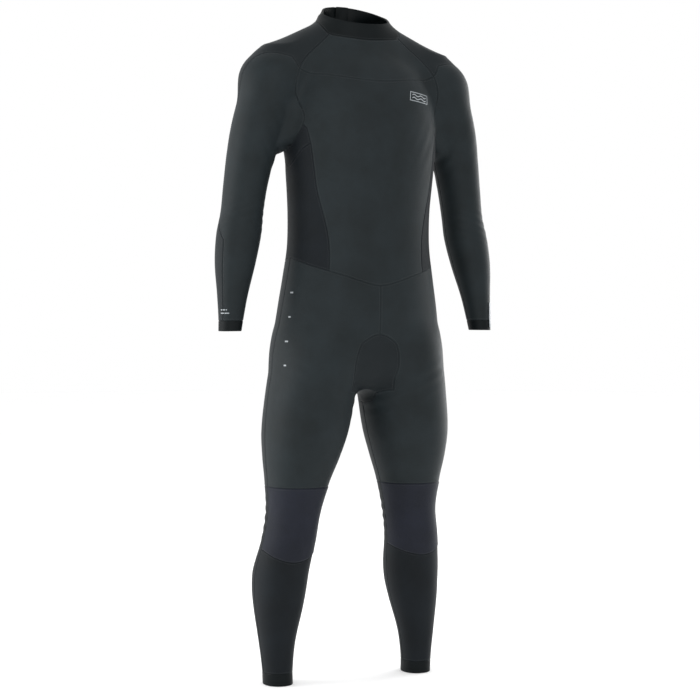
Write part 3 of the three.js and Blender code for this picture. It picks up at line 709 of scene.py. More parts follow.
    def sleeves(self, upper: np.ndarray, trunk: np.ndarray) -> np.ndarray:
        """Points of a sleeve, fifteen rows of twelve, from the armpit's front over the arm."""
        grid = np.zeros((15, 12, 3))
        grid[0, :9] = upper[7, 4:13]
        grid[0, 9:] = trunk[0, 5:8][::-1]
        for q in range(1, 15):
            outer, inner = self.sleeve_rows[q - 1]
            start, way = np.zeros((12, 3)), np.zeros((12, 3))
            for c in range(12):
                top = grid[0, c]
                even = math.radians(-130 + c * 32.5 if c <= 8 else 130 + (c - 8) * 25)
                z = outer + (inner - outer) * (0.5 - 0.5 * math.cos(even))
                own = self.wearer.read(self.wearer.arm, top[2:3])[0]
                a = math.atan2(top[1] - own[2], top[0] - own[1])
                a += 2 * math.pi * round((even - a) / (2 * math.pi))
                a += (even - a) * ease((q + 1) / 4)
                cx, cy = self.wearer.read(self.wearer.arm, np.array([z]))[0, 1:3]
                start[c], way[c] = [cx, cy, z], [math.cos(a), math.sin(a), 0]
            grid[q] = self.wearer.reach(start, way)
        return grid

    def collar(self, upper: np.ndarray) -> np.ndarray:
        """Points of the collar, three rows of sixteen, up to a flat sloping rim."""
        low = upper[0, :16]
        grid = np.stack([low, low, low])
        a = np.arctan2(low[:, 1] - self.neck_axis_y, low[:, 0])
        way = np.stack([np.cos(a), np.sin(a), np.zeros(16)], 1)
        for r in (1, 2):
            p = low.copy()
            for _ in range(6):
                rim = self.rim[0] + self.rim[1] * (p[:, 1] - self.neck_axis_y)
                z = low[:, 2] + (rim - low[:, 2]) * r / 2
                start = np.stack([np.zeros(16), np.full(16, self.neck_axis_y), z], 1)
                p = self.wearer.reach(start, way)
                p[15] = self.wearer.reach([self.zip_half, self.clear, z[15]], [0, -1, 0],
                                          leaving=False)[0]
            grid[r] = p
        return grid

    def cells(self) -> list[tuple[list[np.ndarray], str]]:
        """The panels of the wearer's left half, as small cells.

        Returns:
            For each cell its corners, counter-clockwise from outside, and its panel. A panel
            with a star in its name has a twin on the other side.
        """
        upper = self.upper()
        trunk = self.trunk(upper)
        legs, sleeves, collar = self.legs(trunk), self.sleeves(upper, trunk), self.collar(upper)
        out: list[tuple[list[np.ndarray], str]] = []

        def cell(g: np.ndarray, r: int, c: int, panel: str, wrap: int = 99) -> None:
            """Add one cell of a grid."""
            n = (c + 1) % wrap
            out.append(([g[r, c], g[r + 1, c], g[r + 1, n], g[r, n]], panel))

        def halved(g: np.ndarray, r: int, c: int, falls: bool, names: tuple[str, str]) -> None:
            """Add one cell that a seam crosses from corner to corner."""
            a, b, d, e = g[r, c], g[r + 1, c], g[r + 1, c + 1], g[r, c + 1]
            if falls:
                out.extend([([a, b, d], names[0]), ([a, d, e], names[1])])
            else:
                out.extend([([a, b, e], names[0]), ([b, d, e], names[1])])

        for r in range(2):
            for c in range(15):
                n = c + 1
                out.append(([collar[r, c], collar[r, n], collar[r + 1, n], collar[r + 1, c]],
                            "collar"))
        tops = ("sleeve_top_front_*", "sleeve_top_back_*")
        for r in range(7):
            for c in range(15):
                if 4 <= c < 12:
                    if r >= 3 and c == r + 2:
                        halved(upper, r, c, True, tops)
                    else:
                        cell(upper, r, c, tops[0] if r >= 3 and c < r + 2 else tops[1])
                    continue
                panel = "chest_yoke" if r < self.yoke_row else "front_body"
                cell(upper, r, c, "back_body_*" if c >= 12 else panel)
        for k in range(14):
            for j in range(12):
                if j == 11 and k < self.zip_row:
                    continue
                panel = "front_body"
                if j >= 4:
                    panel = "underarm_*" if k < self.gusset_row else "side_body_*"
                if j >= 8:
                    panel = "back_body_*" if k < self.zip_row else "lumbar"
                if k >= self.waist_row:
                    panel = "hip_front_*" if j < 6 else "seat_*"
                if (k >= self.tongue_top and j == 0) or (k >= self.gusset_back and j == 11):
                    panel = "crotch_*"
                if (k, j) == (self.tongue_top, 0):
                    halved(trunk, k, j, True, ("crotch_*", "hip_front_*"))
                    continue
                cell(trunk, k, j, panel)
        for m in range(18):
            for i in range(16):
                front = i < 6 or i >= 14
                panel = "hip_front_*" if front else "seat_*"
                if m == 0 and (i >= 11 or i < 1):
                    panel = "crotch_*"
                if m >= self.thigh_split:
                    panel = "thigh_low_front_*" if front else "thigh_low_back_*"
                if m >= self.pad_rows[0]:
                    panel = "knee_pad_*" if front else "calf_*"
                if m >= self.pad_rows[1] and front:
                    panel = "shin_*"
                if m >= self.ankle_row:
                    panel = "ankle_cuff_*"
                cell(legs, m, i, panel, 16)
        for q in range(14):
            level = "low" if q >= self.sleeve_split else "top"
            names = (f"sleeve_{level}_front_*", f"sleeve_{level}_back_*")
            for c in range(12):
                if (q, c) in ((self.elbow_row, 4), (self.elbow_row + 1, 3)):
                    halved(sleeves, q, c, False, names)
                    continue
                seam = 5 - min(max(q - self.elbow_row, 0), 2)
                panel = names[0] if c < seam or c >= 10 else names[1]
                cell(sleeves, q, c, "wrist_cuff_*" if q >= self.wrist_row else panel, 12)
        return out


# ------------------------------------------------------------------------ the sheet


@dataclass(frozen=True)
class Fold:
    """A patch of slight creases: its height on the body, its reach, their spacing and rise."""

    height: float
    reach: float
    pitch: float
    rise: float

    def run(self, away: np.ndarray, along: np.ndarray,
            turn: np.ndarray | float = 0.0) -> np.ndarray:
        """Creases that fade with the distance from the patch's middle.

        Args:
            away: how far points lie from the middle.
            along: how far they lie across the creases.
            turn: what else shifts the creases, in radians.

        Returns:
            How far each point rises.
        """
        fade = np.exp(-((away / self.reach) ** 2))
        return fade * self.rise * np.sin(along / self.pitch * 2 * math.pi + turn)


@dataclass
class Sheet:
    """The whole suit as one fine sheet, every face knowing its panel."""

    cut: Cut
    fineness: int = 3
    # the crotch tongue's rounding: its arch, and where and how far its lower corners move
    arch_half: float = 62.0
    arch_slope: float = 0.62
    arch_heights: tuple[float, float] = (-745, -575)
    corner: tuple[float, float] = (53, -838)
    corner_reach: tuple[float, float] = (44, 66)
    corner_draw: tuple[float, float] = (26, 30)
    # beyond these the points keep their height, so that the hems stay level
    ankle_level: float = -1385
    sleeve_level: tuple[float, float] = (240, -610)
    collar_level: float = 30
    # the flat strip along the zip: its foot, how it fades below and to the sides
    flat_foot: float = -520
    flat_fade: tuple[float, float] = (60, 44)
    elbow: Fold = Fold(-398, 34, 17, 0.5)
    armpit: Fold = Fold(-236, 52, 26, 1.1)
    groin: Fold = Fold(-772, 34, 30, 0.7)
    knee: Fold = Fold(-1046, 42, 21, 0.9)
    names: list[str] = field(default_factory=list)
    spots: np.ndarray = field(default_factory=lambda: np.zeros((0, 3)))
    normals: np.ndarray = field(default_factory=lambda: np.zeros((0, 3)))
    faces: np.ndarray = field(default_factory=lambda: np.zeros((0, 4), int))
    panel: np.ndarray = field(default_factory=lambda: np.zeros(0, int))
    border: dict[tuple[int, int], set[int]] = field(default_factory=dict)

    def coarse(self) -> bpy.types.Mesh:
        """The cut's cells, joined, with their mirror images."""
        bm = bmesh.new()
        for corners, panel in self.cut.cells():
            left = panel.replace("*", "left")
            for name in (left, panel.replace("*", "right")):
                if name not in self.names:
                    self.names.append(name)
            face = bm.faces.new([bm.verts.new(c) for c in corners])
            face.material_index = self.names.index(left)
        twin = bmesh.ops.duplicate(bm, geom=bm.verts[:] + bm.edges[:] + bm.faces[:])["geom"]
        faces = [g for g in twin if isinstance(g, bmesh.types.BMFace)]
        verts = [g for g in twin if isinstance(g, bmesh.types.BMVert)]
        bmesh.ops.scale(bm, vec=(-1, 1, 1), verts=verts)
        bmesh.ops.reverse_faces(bm, faces=faces)
        for face in faces:
            name = self.names[face.material_index]
            face.material_index = self.names.index(name.replace("left", "right"))
        bmesh.ops.remove_doubles(bm, verts=bm.verts[:], dist=0.01)
        mesh = bpy.data.meshes.new("sheet")
        bm.to_mesh(mesh)
        bm.free()
        return mesh

    def lay(self) -> None:
        """Smooth the cells into a fine sheet and lay it over the wearer."""
        block = bpy.data.objects.new("sheet", self.coarse())
        bpy.context.scene.collection.objects.link(block)
        smooth = block.modifiers.new("smooth", "SUBSURF")
        smooth.levels = smooth.render_levels = self.fineness
        graph = bpy.context.evaluated_depsgraph_get()
        mesh = bpy.data.meshes.new_from_object(block.evaluated_get(graph))
        count = len(mesh.vertices)
        spots = np.zeros(count * 3, np.float32)
        mesh.vertices.foreach_get("co", spots)
        corners = np.zeros(len(mesh.loops), np.int32)
        mesh.loops.foreach_get("vertex_index", corners)
        panel = np.zeros(len(mesh.polygons), np.int32)
        mesh.polygons.foreach_get("material_index", panel)
        self.faces, self.panel = corners.reshape(-1, 4).astype(int), panel
        self.spots = self.laid(spots.reshape(-1, 3).astype(float))
        mesh.vertices.foreach_set("co", self.spots.ravel().astype(np.float32))
        mesh.update()
        normals = np.zeros(count * 3, np.float32)
        mesh.vertices.foreach_get("normal", normals)
        self.normals = normals.reshape(-1, 3).astype(float)
        bpy.data.objects.remove(block)
        bpy.data.meshes.remove(mesh)
        self.find_border()

    def laid(self, p: np.ndarray) -> np.ndarray:
        """Bring the sheet's points onto the wearer, flat along the zip.

        Args:
            p: the points.

        Returns:
            The points in place.
        """
        p = self.rounded_tongue(p)
        wearer, z = self.cut.wearer, p[:, 2]
        sleeve = (np.abs(p[:, 0]) > self.sleeve_level[0]) & (z < self.sleeve_level[1])
        level = (z < self.ankle_level) | sleeve | (z > self.collar_level)
        p = wearer.settle(p, level)
        half, (below, beside) = self.cut.zip_half, self.flat_fade
        heights = np.arange(self.flat_foot - 20, 100.0, 6.0)
        rays = np.stack([np.full_like(heights, half), np.full_like(heights, self.cut.clear),
                         heights], 1)
        round_y = wearer.reach(rays, [0, -1, 0], leaving=False)[:, 1]
        rise = self.cut.on_back(heights) - round_y
        near = 1 - ease((np.abs(p[:, 0]) - half) / beside)
        within = ease((z - self.flat_foot) / below) * (p[:, 1] > 30)
        p[:, 1] += np.interp(z, heights, rise) * near * within
        return self.creased(p)

    def rounded_tongue(self, p: np.ndarray) -> np.ndarray:
        """Slide the points round the crotch tongue so that its corners become one round line.

        Args:
            p: the sheet's points.

        Returns:
            The points, still to be laid on the wearer.
        """
        x, y, z = np.abs(p[:, 0]), p[:, 1], p[:, 2]
        front = ease((-40 - y) / 30)
        # the flanks of the tip rise into an arch
        low, high = self.arch_heights
        arch = np.clip(1 - x / self.arch_half, 0, 1) ** 2
        window = ease((z - low) / 60) * ease((high - z) / 50)
        lift = self.arch_slope * x * arch * window * front
        # the lower corners are drawn in and up
        beside = (x - self.corner[0]) / self.corner_reach[0]
        below = (z - self.corner[1]) / self.corner_reach[1]
        near = np.exp(-(beside**2) - below**2) * front
        p = p.copy()
        p[:, 2] += lift + self.corner_draw[1] * near
        p[:, 0] -= np.sign(p[:, 0]) * self.corner_draw[0] * near * ease(x / 30)
        return p

    def creased(self, p: np.ndarray) -> np.ndarray:
        """Add the slight folds that neoprene keeps inside elbows and under the arms.

        Args:
            p: the points.

        Returns:
            The points with the folds.
        """
        x, y, z = np.abs(p[:, 0]), p[:, 1], p[:, 2]
        g = self.cut.wearer.slope(p)
        g /= np.linalg.norm(g, axis=1)[:, None]
        inner_elbow = (x > 205) * ease((20 - y) / 50)
        folds = inner_elbow * self.elbow.run(z - self.elbow.height, z + 0.35 * (x - 265),
                                             0.05 * y)
        pit = np.hypot((x - 178) / 1.2, z - self.armpit.height)
        folds += self.armpit.run(pit, x * 0.9 - z * 0.5)
        crease = z - self.groin.height - 0.5 * (x - 60)
        folds += (y < 0) * (x < 170) * self.groin.run(crease, z - 0.45 * x)
        hollow = (y > 20) * (x > 60)
        folds += hollow * self.knee.run(z - self.knee.height, z, 0.03 * x)
        return p + g * folds[:, None]

    def find_border(self) -> None:
        """Note every edge where two panels meet, or where the sheet ends."""
        a = self.faces
        b = np.roll(a, -1, axis=1)
        low, high = np.minimum(a, b).ravel(), np.maximum(a, b).ravel()
        owner = np.repeat(self.panel, 4)
        key = low * len(self.spots) + high
        order = np.argsort(key, kind="stable")
        key, owner, low, high = key[order], owner[order], low[order], high[order]
        first = np.flatnonzero(np.r_[True, key[1:] != key[:-1]])
        size = np.diff(np.r_[first, len(key)])
        for i, n in zip(first, size):
            if n == 1 or owner[i] != owner[i + 1]:
                self.border[(int(low[i]), int(high[i]))] = {int(o) for o in owner[i : i + n]}

    def kind(self, a: int, b: int) -> EdgeKind:
        """What lies along the edge between two of the sheet's points."""
        owners = self.border[(min(a, b), max(a, b))]
        if len(owners) == 1:
            return EdgeKind.HEM
        one, two = sorted(self.names[o] for o in owners)
        plain = [n.replace("_top", "").replace("_low", "") for n in (one, two)]
        same = plain[0] == plain[1] and "sleeve" in one
        leg = {one, two} in [{f"{u}_{s.word}", f"{v}_{s.word}"} for s in Side
                             for u, v in (("hip_front", "thigh_low_front"),
                                          ("seat", "thigh_low_back"))]
        twins = {one, two} == {"crotch_left", "crotch_right"}
        return EdgeKind.SPLIT if same or leg or twins else EdgeKind.SEAM


@dataclass
class PanelMaker:
    """Cuts one panel out of the sheet and makes it a closed piece of neoprene."""

    sheet: Sheet
    thick: float = 3.6
    shoulder_in: float = 0.8
    groove_in: float = 1.5
    stitch_in: float = 3.1
    stitch_pitch: float = 4.2
    stitch_size: tuple[float, float, float] = (1.35, 0.36, 0.3)

    def make(self, panel: str, finish: str, rise: float = 0.0,
             stitched: bool = True) -> bpy.types.Object:
        """Make one panel.

        Args:
            panel: the panel's name.
            finish: its finish.
            rise: how far it stands proud of its neighbours, in mm.
            stitched: whether a row of stitches follows its seams.

        Returns:
            The panel, in metres, dressed.
        """
        sheet = self.sheet
        chosen = sheet.faces[sheet.panel == sheet.names.index(panel)]
        used, local = np.unique(chosen, return_inverse=True)
        bm = bmesh.new()
        source = bm.verts.layers.int.new("source")
        verts = [bm.verts.new(sheet.spots[u]) for u in used]
        for v, u in zip(verts, used):
            v[source] = int(u)
        for f in local.reshape(-1, 4):
            bm.faces.new([verts[i] for i in f])
        bm.normal_update()
        depth: dict[int, float] = {}
        follows: dict[int, int] = {}
        for e in bm.edges:
            if not e.is_boundary:
                continue
            a = e.link_loops[0].vert[source]
            b = e.link_loops[0].link_loop_next.vert[source]
            kind = sheet.kind(a, b)
            for v in (a, b):
                depth[v] = max(depth.get(v, 0.0), kind.value)
            if kind is EdgeKind.SEAM:
                follows[a] = b
        field_faces = bm.faces[:]
        edge_in = dict(use_boundary=True, use_even_offset=True)
        rims = [bmesh.ops.inset_region(bm, faces=field_faces, thickness=t, **edge_in)["faces"]
                for t in (self.shoulder_in, self.groove_in)]
        outer = {v for e in bm.edges if e.is_boundary for v in e.verts}
        inner = {v for f in rims[0] for v in f.verts} - outer
        for v in bm.verts:
            n = Vector(sheet.normals[v[source]])
            sink = depth.get(v[source], 0.0)
            if v in outer:
                v.co -= n * sink
            elif v in inner:
                v.co += n * (rise * 0.5 - sink * 0.3)
            else:
                v.co += n * rise
        skin = bmesh.ops.extrude_face_region(bm, geom=bm.faces[:], use_keep_orig=True)["geom"]
        for v in skin:
            if isinstance(v, bmesh.types.BMVert):
                n = Vector(sheet.normals[v[source]])
                v.co -= n * (self.thick - depth.get(v[source], 0.0) * (v in outer) + rise)
        bmesh.ops.recalc_face_normals(bm, faces=bm.faces[:])
        if stitched:
            self.stitch(bm, follows, rise)
        bmesh.ops.scale(bm, vec=(MM, MM, MM), verts=bm.verts[:])
        return finished(bm, f"panel_{panel}", finish, "thread")

    def cuff(self, panel: str, body: str) -> None:
        """Make a cuff, which has no stitches.

        Args:
            panel: the cuff's name.
            body: the body it rides on.
        """
        piece = self.make(panel, "smooth_skin", stitched=False)
        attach(piece, body)
        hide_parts(panel)

    def stitch(self, bm: bmesh.types.BMesh, follows: dict[int, int], rise: float) -> None:
        """Lay a row of stitches beside the seams.

        Args:
            bm: the panel.
            follows: for each of the sheet's points on a seam, the next one along it.
            rise: how far the panel stands proud.
        """
        grain = bmesh.new()
        bmesh.ops.create_icosphere(grain, subdivisions=1, radius=1.0)
        bmesh.ops.scale(grain, vec=self.stitch_size, verts=grain.verts[:])
        shape = [v.co.copy() for v in grain.verts]
        grain.faces.ensure_lookup_table()
        sides = [[v.index for v in f.verts] for f in grain.faces]
        grain.free()
        left = dict(follows)
        heads = [a for a in follows if a not in set(follows.values())]
        while left:
            start = heads.pop() if heads else next(iter(left))
            run = [start]
            while run[-1] in left:
                run.append(left.pop(run[-1]))
            if len(run) < 3:
                continue
            p, n = self.sheet.spots[run], self.sheet.normals[run]
            t = np.gradient(p, axis=0)
            t /= np.maximum(np.linalg.norm(t, axis=1), 1e-9)[:, None]
            row = p + np.cross(n, t) * self.stitch_in + n * (0.12 + rise)
            gaps = np.linalg.norm(np.diff(row, axis=0), axis=1)
            far = np.r_[0, np.cumsum(gaps)]
            for s in np.arange(self.stitch_pitch / 2, far[-1], self.stitch_pitch):
                at = Vector([float(np.interp(s, far, row[:, i])) for i in range(3)])
                way = Vector([float(np.interp(s, far, t[:, i])) for i in range(3)])
                up = Vector([float(np.interp(s, far, n[:, i])) for i in range(3)])
                across = up.cross(way).normalized()
                way.normalize()
                up = way.cross(across)
                made = [bm.verts.new(at + way * c.x + across * c.y + up * c.z) for c in shape]
                for side in sides:
                    bm.faces.new([made[i] for i in side]).material_index = 1


def finished(bm: bmesh.types.BMesh, name: str, *finishes: str) -> bpy.types.Object:
    """Turn a bmesh in metres into a dressed piece.

    Args:
        bm: the mesh, which is freed.
        name: the piece's name.
        finishes: its finishes.

    Returns:
        The piece.
    """
    mesh = bpy.data.meshes.new(name)
    for face in bm.faces:
        face.smooth = True
    bm.to_mesh(mesh)
    bm.free()
    mesh.set_sharp_from_angle(angle=math.radians(48))
    rest = mesh.attributes.new("rest", "FLOAT_VECTOR", "POINT")
    spots = np.zeros(len(mesh.vertices) * 3, np.float32)
    mesh.vertices.foreach_get("co", spots)
    rest.data.foreach_set("vector", spots)
    piece = bpy.data.objects.new(name, mesh)
    bpy.context.scene.collection.objects.link(piece)
    dress(piece, *finishes)
    log.info("%s: %d faces", name, len(mesh.polygons))
    return piece


@dataclass
class Bend:
    """Where a soft tube bends between two bodies: from where to where, in metres."""

    parent: str
    child: str
    start: tuple[float, float, float]
    end: tuple[float, float, float]

    def apply(self, piece: bpy.types.Object, side: Side, *nodes: str) -> None:
        """Fix a piece of one side where it is and hide the CAD nodes it replaces.

        Args:
            piece: the object.
            side: which side it lies on; not used.
            nodes: the CAD nodes that it replaces.
        """
        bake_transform(piece)
        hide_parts(*nodes)


# ------------------------------------------------------------------------ sub-assemblies


@dataclass
class Trunk:
    """Chest, back and side panels and the collar; the crotch gusset is made with the legs."""

    maker: PanelMaker

    def build(self) -> None:
        """Make the trunk's panels; they ride on the trunk."""
        plain = {
            "collar": ("smooth_skin", ["collar_band"]),
            "chest_yoke": ("jersey", ["chest_yoke"]),
            "front_body": ("jersey", ["front_torso_panel"]),
            # the lumbar panel takes the darker jersey: painted shade
            "lumbar": ("jersey_side", ["lumbar_panel"]),
        }
        for side in Side:
            s = side.word
            # the underarm and side panels take the darkest jersey: painted deep shade
            plain[f"underarm_{s}"] = ("jersey_painted_deep_shade", [f"underarm_gusset_{s}"])
            plain[f"side_body_{s}"] = ("jersey_painted_deep_shade", [f"side_panel_{s}"])
            # the back panels take the darker jersey: painted shade
            plain[f"back_body_{s}"] = ("jersey_side", [f"back_panel_{s}"])
        for panel, (finish, nodes) in plain.items():
            piece = self.maker.make(panel, finish)
            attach(piece, "trunk")
            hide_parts(*nodes)


@dataclass
class Sleeve:
    """One raglan sleeve, cut along the arm into a front and a back panel, and its cuff."""

    maker: PanelMaker
    side: Side
    shoulder: Bend = field(default_factory=lambda: Bend(
        "trunk", "upper_arm", (0.2, 0.0, -0.2094), (0.2585, 0.0, -0.2459)))
    elbow: Bend = field(default_factory=lambda: Bend(
        "upper_arm", "forearm", (0.26, 0.0, -0.327), (0.26, 0.0, -0.44)))

    def build(self) -> None:
        """Make the sleeve's panels, which stay where they are made, and its cuff."""
        s = self.side.word
        # the back halves take the darker jersey: painted shade
        for half, finish in (("front", "jersey"), ("back", "jersey_side")):
            top = self.maker.make(f"sleeve_top_{half}_{s}", finish)
            self.shoulder.apply(top, self.side, f"shoulder_panel_{s}", f"shoulder_band_{s}",
                                f"upper_sleeve_{half}_{s}")
            low = self.maker.make(f"sleeve_low_{half}_{s}", finish)
            self.elbow.apply(low, self.side, f"elbow_band_{s}", f"forearm_{half}_{s}")
        self.maker.cuff(f"wrist_cuff_{s}", f"forearm_{s}")


HIP_BEND = Bend("trunk", "thigh", (0.1, 0.0, -0.6925), (0.1936, 0.0, -0.8173))


@dataclass
class Leg:
    """One leg: hip and seat panels, knee pad, shin and calf, and the ankle cuff."""

    maker: PanelMaker
    side: Side
    pad_rise: float = 1.2
    hip: Bend = field(default_factory=lambda: HIP_BEND)
    knee: Bend = field(default_factory=lambda: Bend(
        "thigh", "lower_leg", (0.14, 0.0, -0.957), (0.14, 0.0, -1.135)))

    def build(self) -> None:
        """Make the leg's panels, which stay where they are made, and its cuff."""
        s = self.side.word
        hips = {
            "hip_front": ("jersey", [f"front_hip_panel_{s}", f"hip_band_{s}",
                                     f"thigh_front_{s}"]),
            # the seat and crotch take the darker jersey: painted shade
            "seat": ("jersey_side", [f"seat_panel_{s}", f"hip_band_{s}", f"thigh_back_{s}"]),
            "crotch": ("jersey_side", ["crotch_gusset"]),
        }
        for panel, (finish, nodes) in hips.items():
            self.hip.apply(self.maker.make(f"{panel}_{s}", finish), self.side, *nodes)
        knees = {
            "thigh_low_front": ("jersey", [f"thigh_front_{s}"], 0.0),
            # the back of the thigh takes the darker jersey: painted shade
            "thigh_low_back": ("jersey_side", [f"thigh_back_{s}"], 0.0),
            "knee_pad": ("knee_pad", [f"knee_pad_{s}"], self.pad_rise),
            # the shin and calf take the darkest jersey: painted deep shade
            "shin": ("jersey_painted_deep_shade", [f"shin_panel_{s}"], 0.0),
            "calf": ("jersey_painted_deep_shade", [f"knee_back_{s}", f"calf_panel_{s}"], 0.0),
        }
        for panel, (finish, nodes, rise) in knees.items():
            self.knee.apply(self.maker.make(f"{panel}_{s}", finish, rise), self.side, *nodes)
        self.maker.cuff(f"ankle_cuff_{s}", f"lower_leg_{s}")


def eased_copy(node: str, name: str, bevel: float, finish: str) -> bpy.types.Object:
    """Copy a hard CAD part and round its edges.

    Args:
        node: the CAD node.
        name: the new piece's name.
        bevel: how wide the rounding is, in mm.
        finish: its finish.

    Returns:
        The piece, which rides where its node does and replaces it.
    """
    source = frame["nodes"][node]
    bm = bmesh.new()
    bm.from_mesh(source.data)
    bmesh.ops.remove_doubles(bm, verts=bm.verts[:], dist=0.00002)
    bmesh.ops.dissolve_limit(bm, angle_limit=math.radians(2), verts=bm.verts[:],
                             edges=bm.edges[:])
    sharp = [e for e in bm.edges if e.calc_face_angle(0) > math.radians(30)]
    bmesh.ops.bevel(bm, geom=sharp, offset=bevel * MM, affect="EDGES", segments=2,
                    profile=0.5, material=-1, clamp_overlap=True)
    piece = finished(bm, name, finish)
    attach(piece, source["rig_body"])
    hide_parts(node)
    return piece


@dataclass
class BackZip:
    """The zip up the back: tapes, two rows of teeth, stop, slider, pull and backing flap."""

    cut: Cut
    top: float = 40
    bottom: float = -452
    pitch: float = 3.6
    tooth: tuple[float, float, float] = (3.1, 1.7, 2.0)
    tooth_bevel: float = 0.35
    apart: float = 1.25  # each row's middle from the zip's
    sunk: float = 1.3  # the teeth's middle below the cloth
    first: float = 9  # the first tooth above the zip's lower end
    last: float = 3  # the last tooth below its upper end

    def on_zip(self, x: float, w: float, t: float) -> Vector:
        """A point across, off and along the zip, in metres."""
        up = Vector((0, self.cut.back_line[1], 1)).normalized()
        out = Vector((0, 1, -self.cut.back_line[1])).normalized()
        return (Vector((x, self.cut.back_line[0], 0)) + up * t + out * w) * MM

    def teeth(self) -> bpy.types.Object:
        """Two rows of moulded teeth that mesh down the middle."""
        bm = bmesh.new()
        turn = Matrix.Rotation(math.atan(-self.cut.back_line[1]), 4, "X")
        tooth = bmesh.new()
        bmesh.ops.create_cube(tooth, size=MM)
        bmesh.ops.scale(tooth, vec=self.tooth, verts=tooth.verts[:])
        bmesh.ops.bevel(tooth, geom=tooth.edges[:], offset=self.tooth_bevel * MM,
                        affect="EDGES", segments=1, profile=0.5, material=-1)
        shape = bpy.data.meshes.new("tooth")
        tooth.to_mesh(shape)
        tooth.free()
        count = int((self.top - self.bottom - self.first - self.last) / self.pitch)
        for i in range(count):
            for sign in (1, -1):
                first = len(bm.verts)
                bm.from_mesh(shape)
                bm.verts.ensure_lookup_table()
                t = self.bottom + self.first + (i + (sign > 0) / 2) * self.pitch
                at = self.on_zip(self.apart * sign, -self.sunk, t)
                bmesh.ops.transform(bm, matrix=Matrix.Translation(at) @ turn,
                                    verts=bm.verts[first:])
        bpy.data.meshes.remove(shape)
        return finished(bm, "zip_teeth", "zip_chain")

    def build(self) -> None:
        """Make the zip; all but the slider and its pull ride on the trunk."""
        chain = self.teeth()
        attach(chain, "trunk")
        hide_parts("zip_chain")
        for node, name, bevel, finish in (
            ("zip_tape_left", "tape_left", 0.3, "zip_tape"),
            ("zip_tape_right", "tape_right", 0.3, "zip_tape"),
            ("zip_bottom_stop", "bottom_stop", 0.4, "zip_metal"),
            ("zip_slider", "slider_body", 0.45, "zip_metal"),
            ("zip_pull_tab", "slider_pull", 0.3, "zip_metal"),
            ("zip_backing_flap", "backing_flap", 0.4, "smooth_skin"),
        ):
            eased_copy(node, name, bevel, finish)


@dataclass
class CollarClosure:
    """The tab that closes over the top of the zip, and the patch it grips."""

    def build(self) -> None:
        """Make the tab and the patch."""
        eased_copy("collar_tab", "closing_tab", 0.7, "smooth_skin")
        eased_copy("collar_loop_patch", "loop_patch", 0.2, "zip_tape")


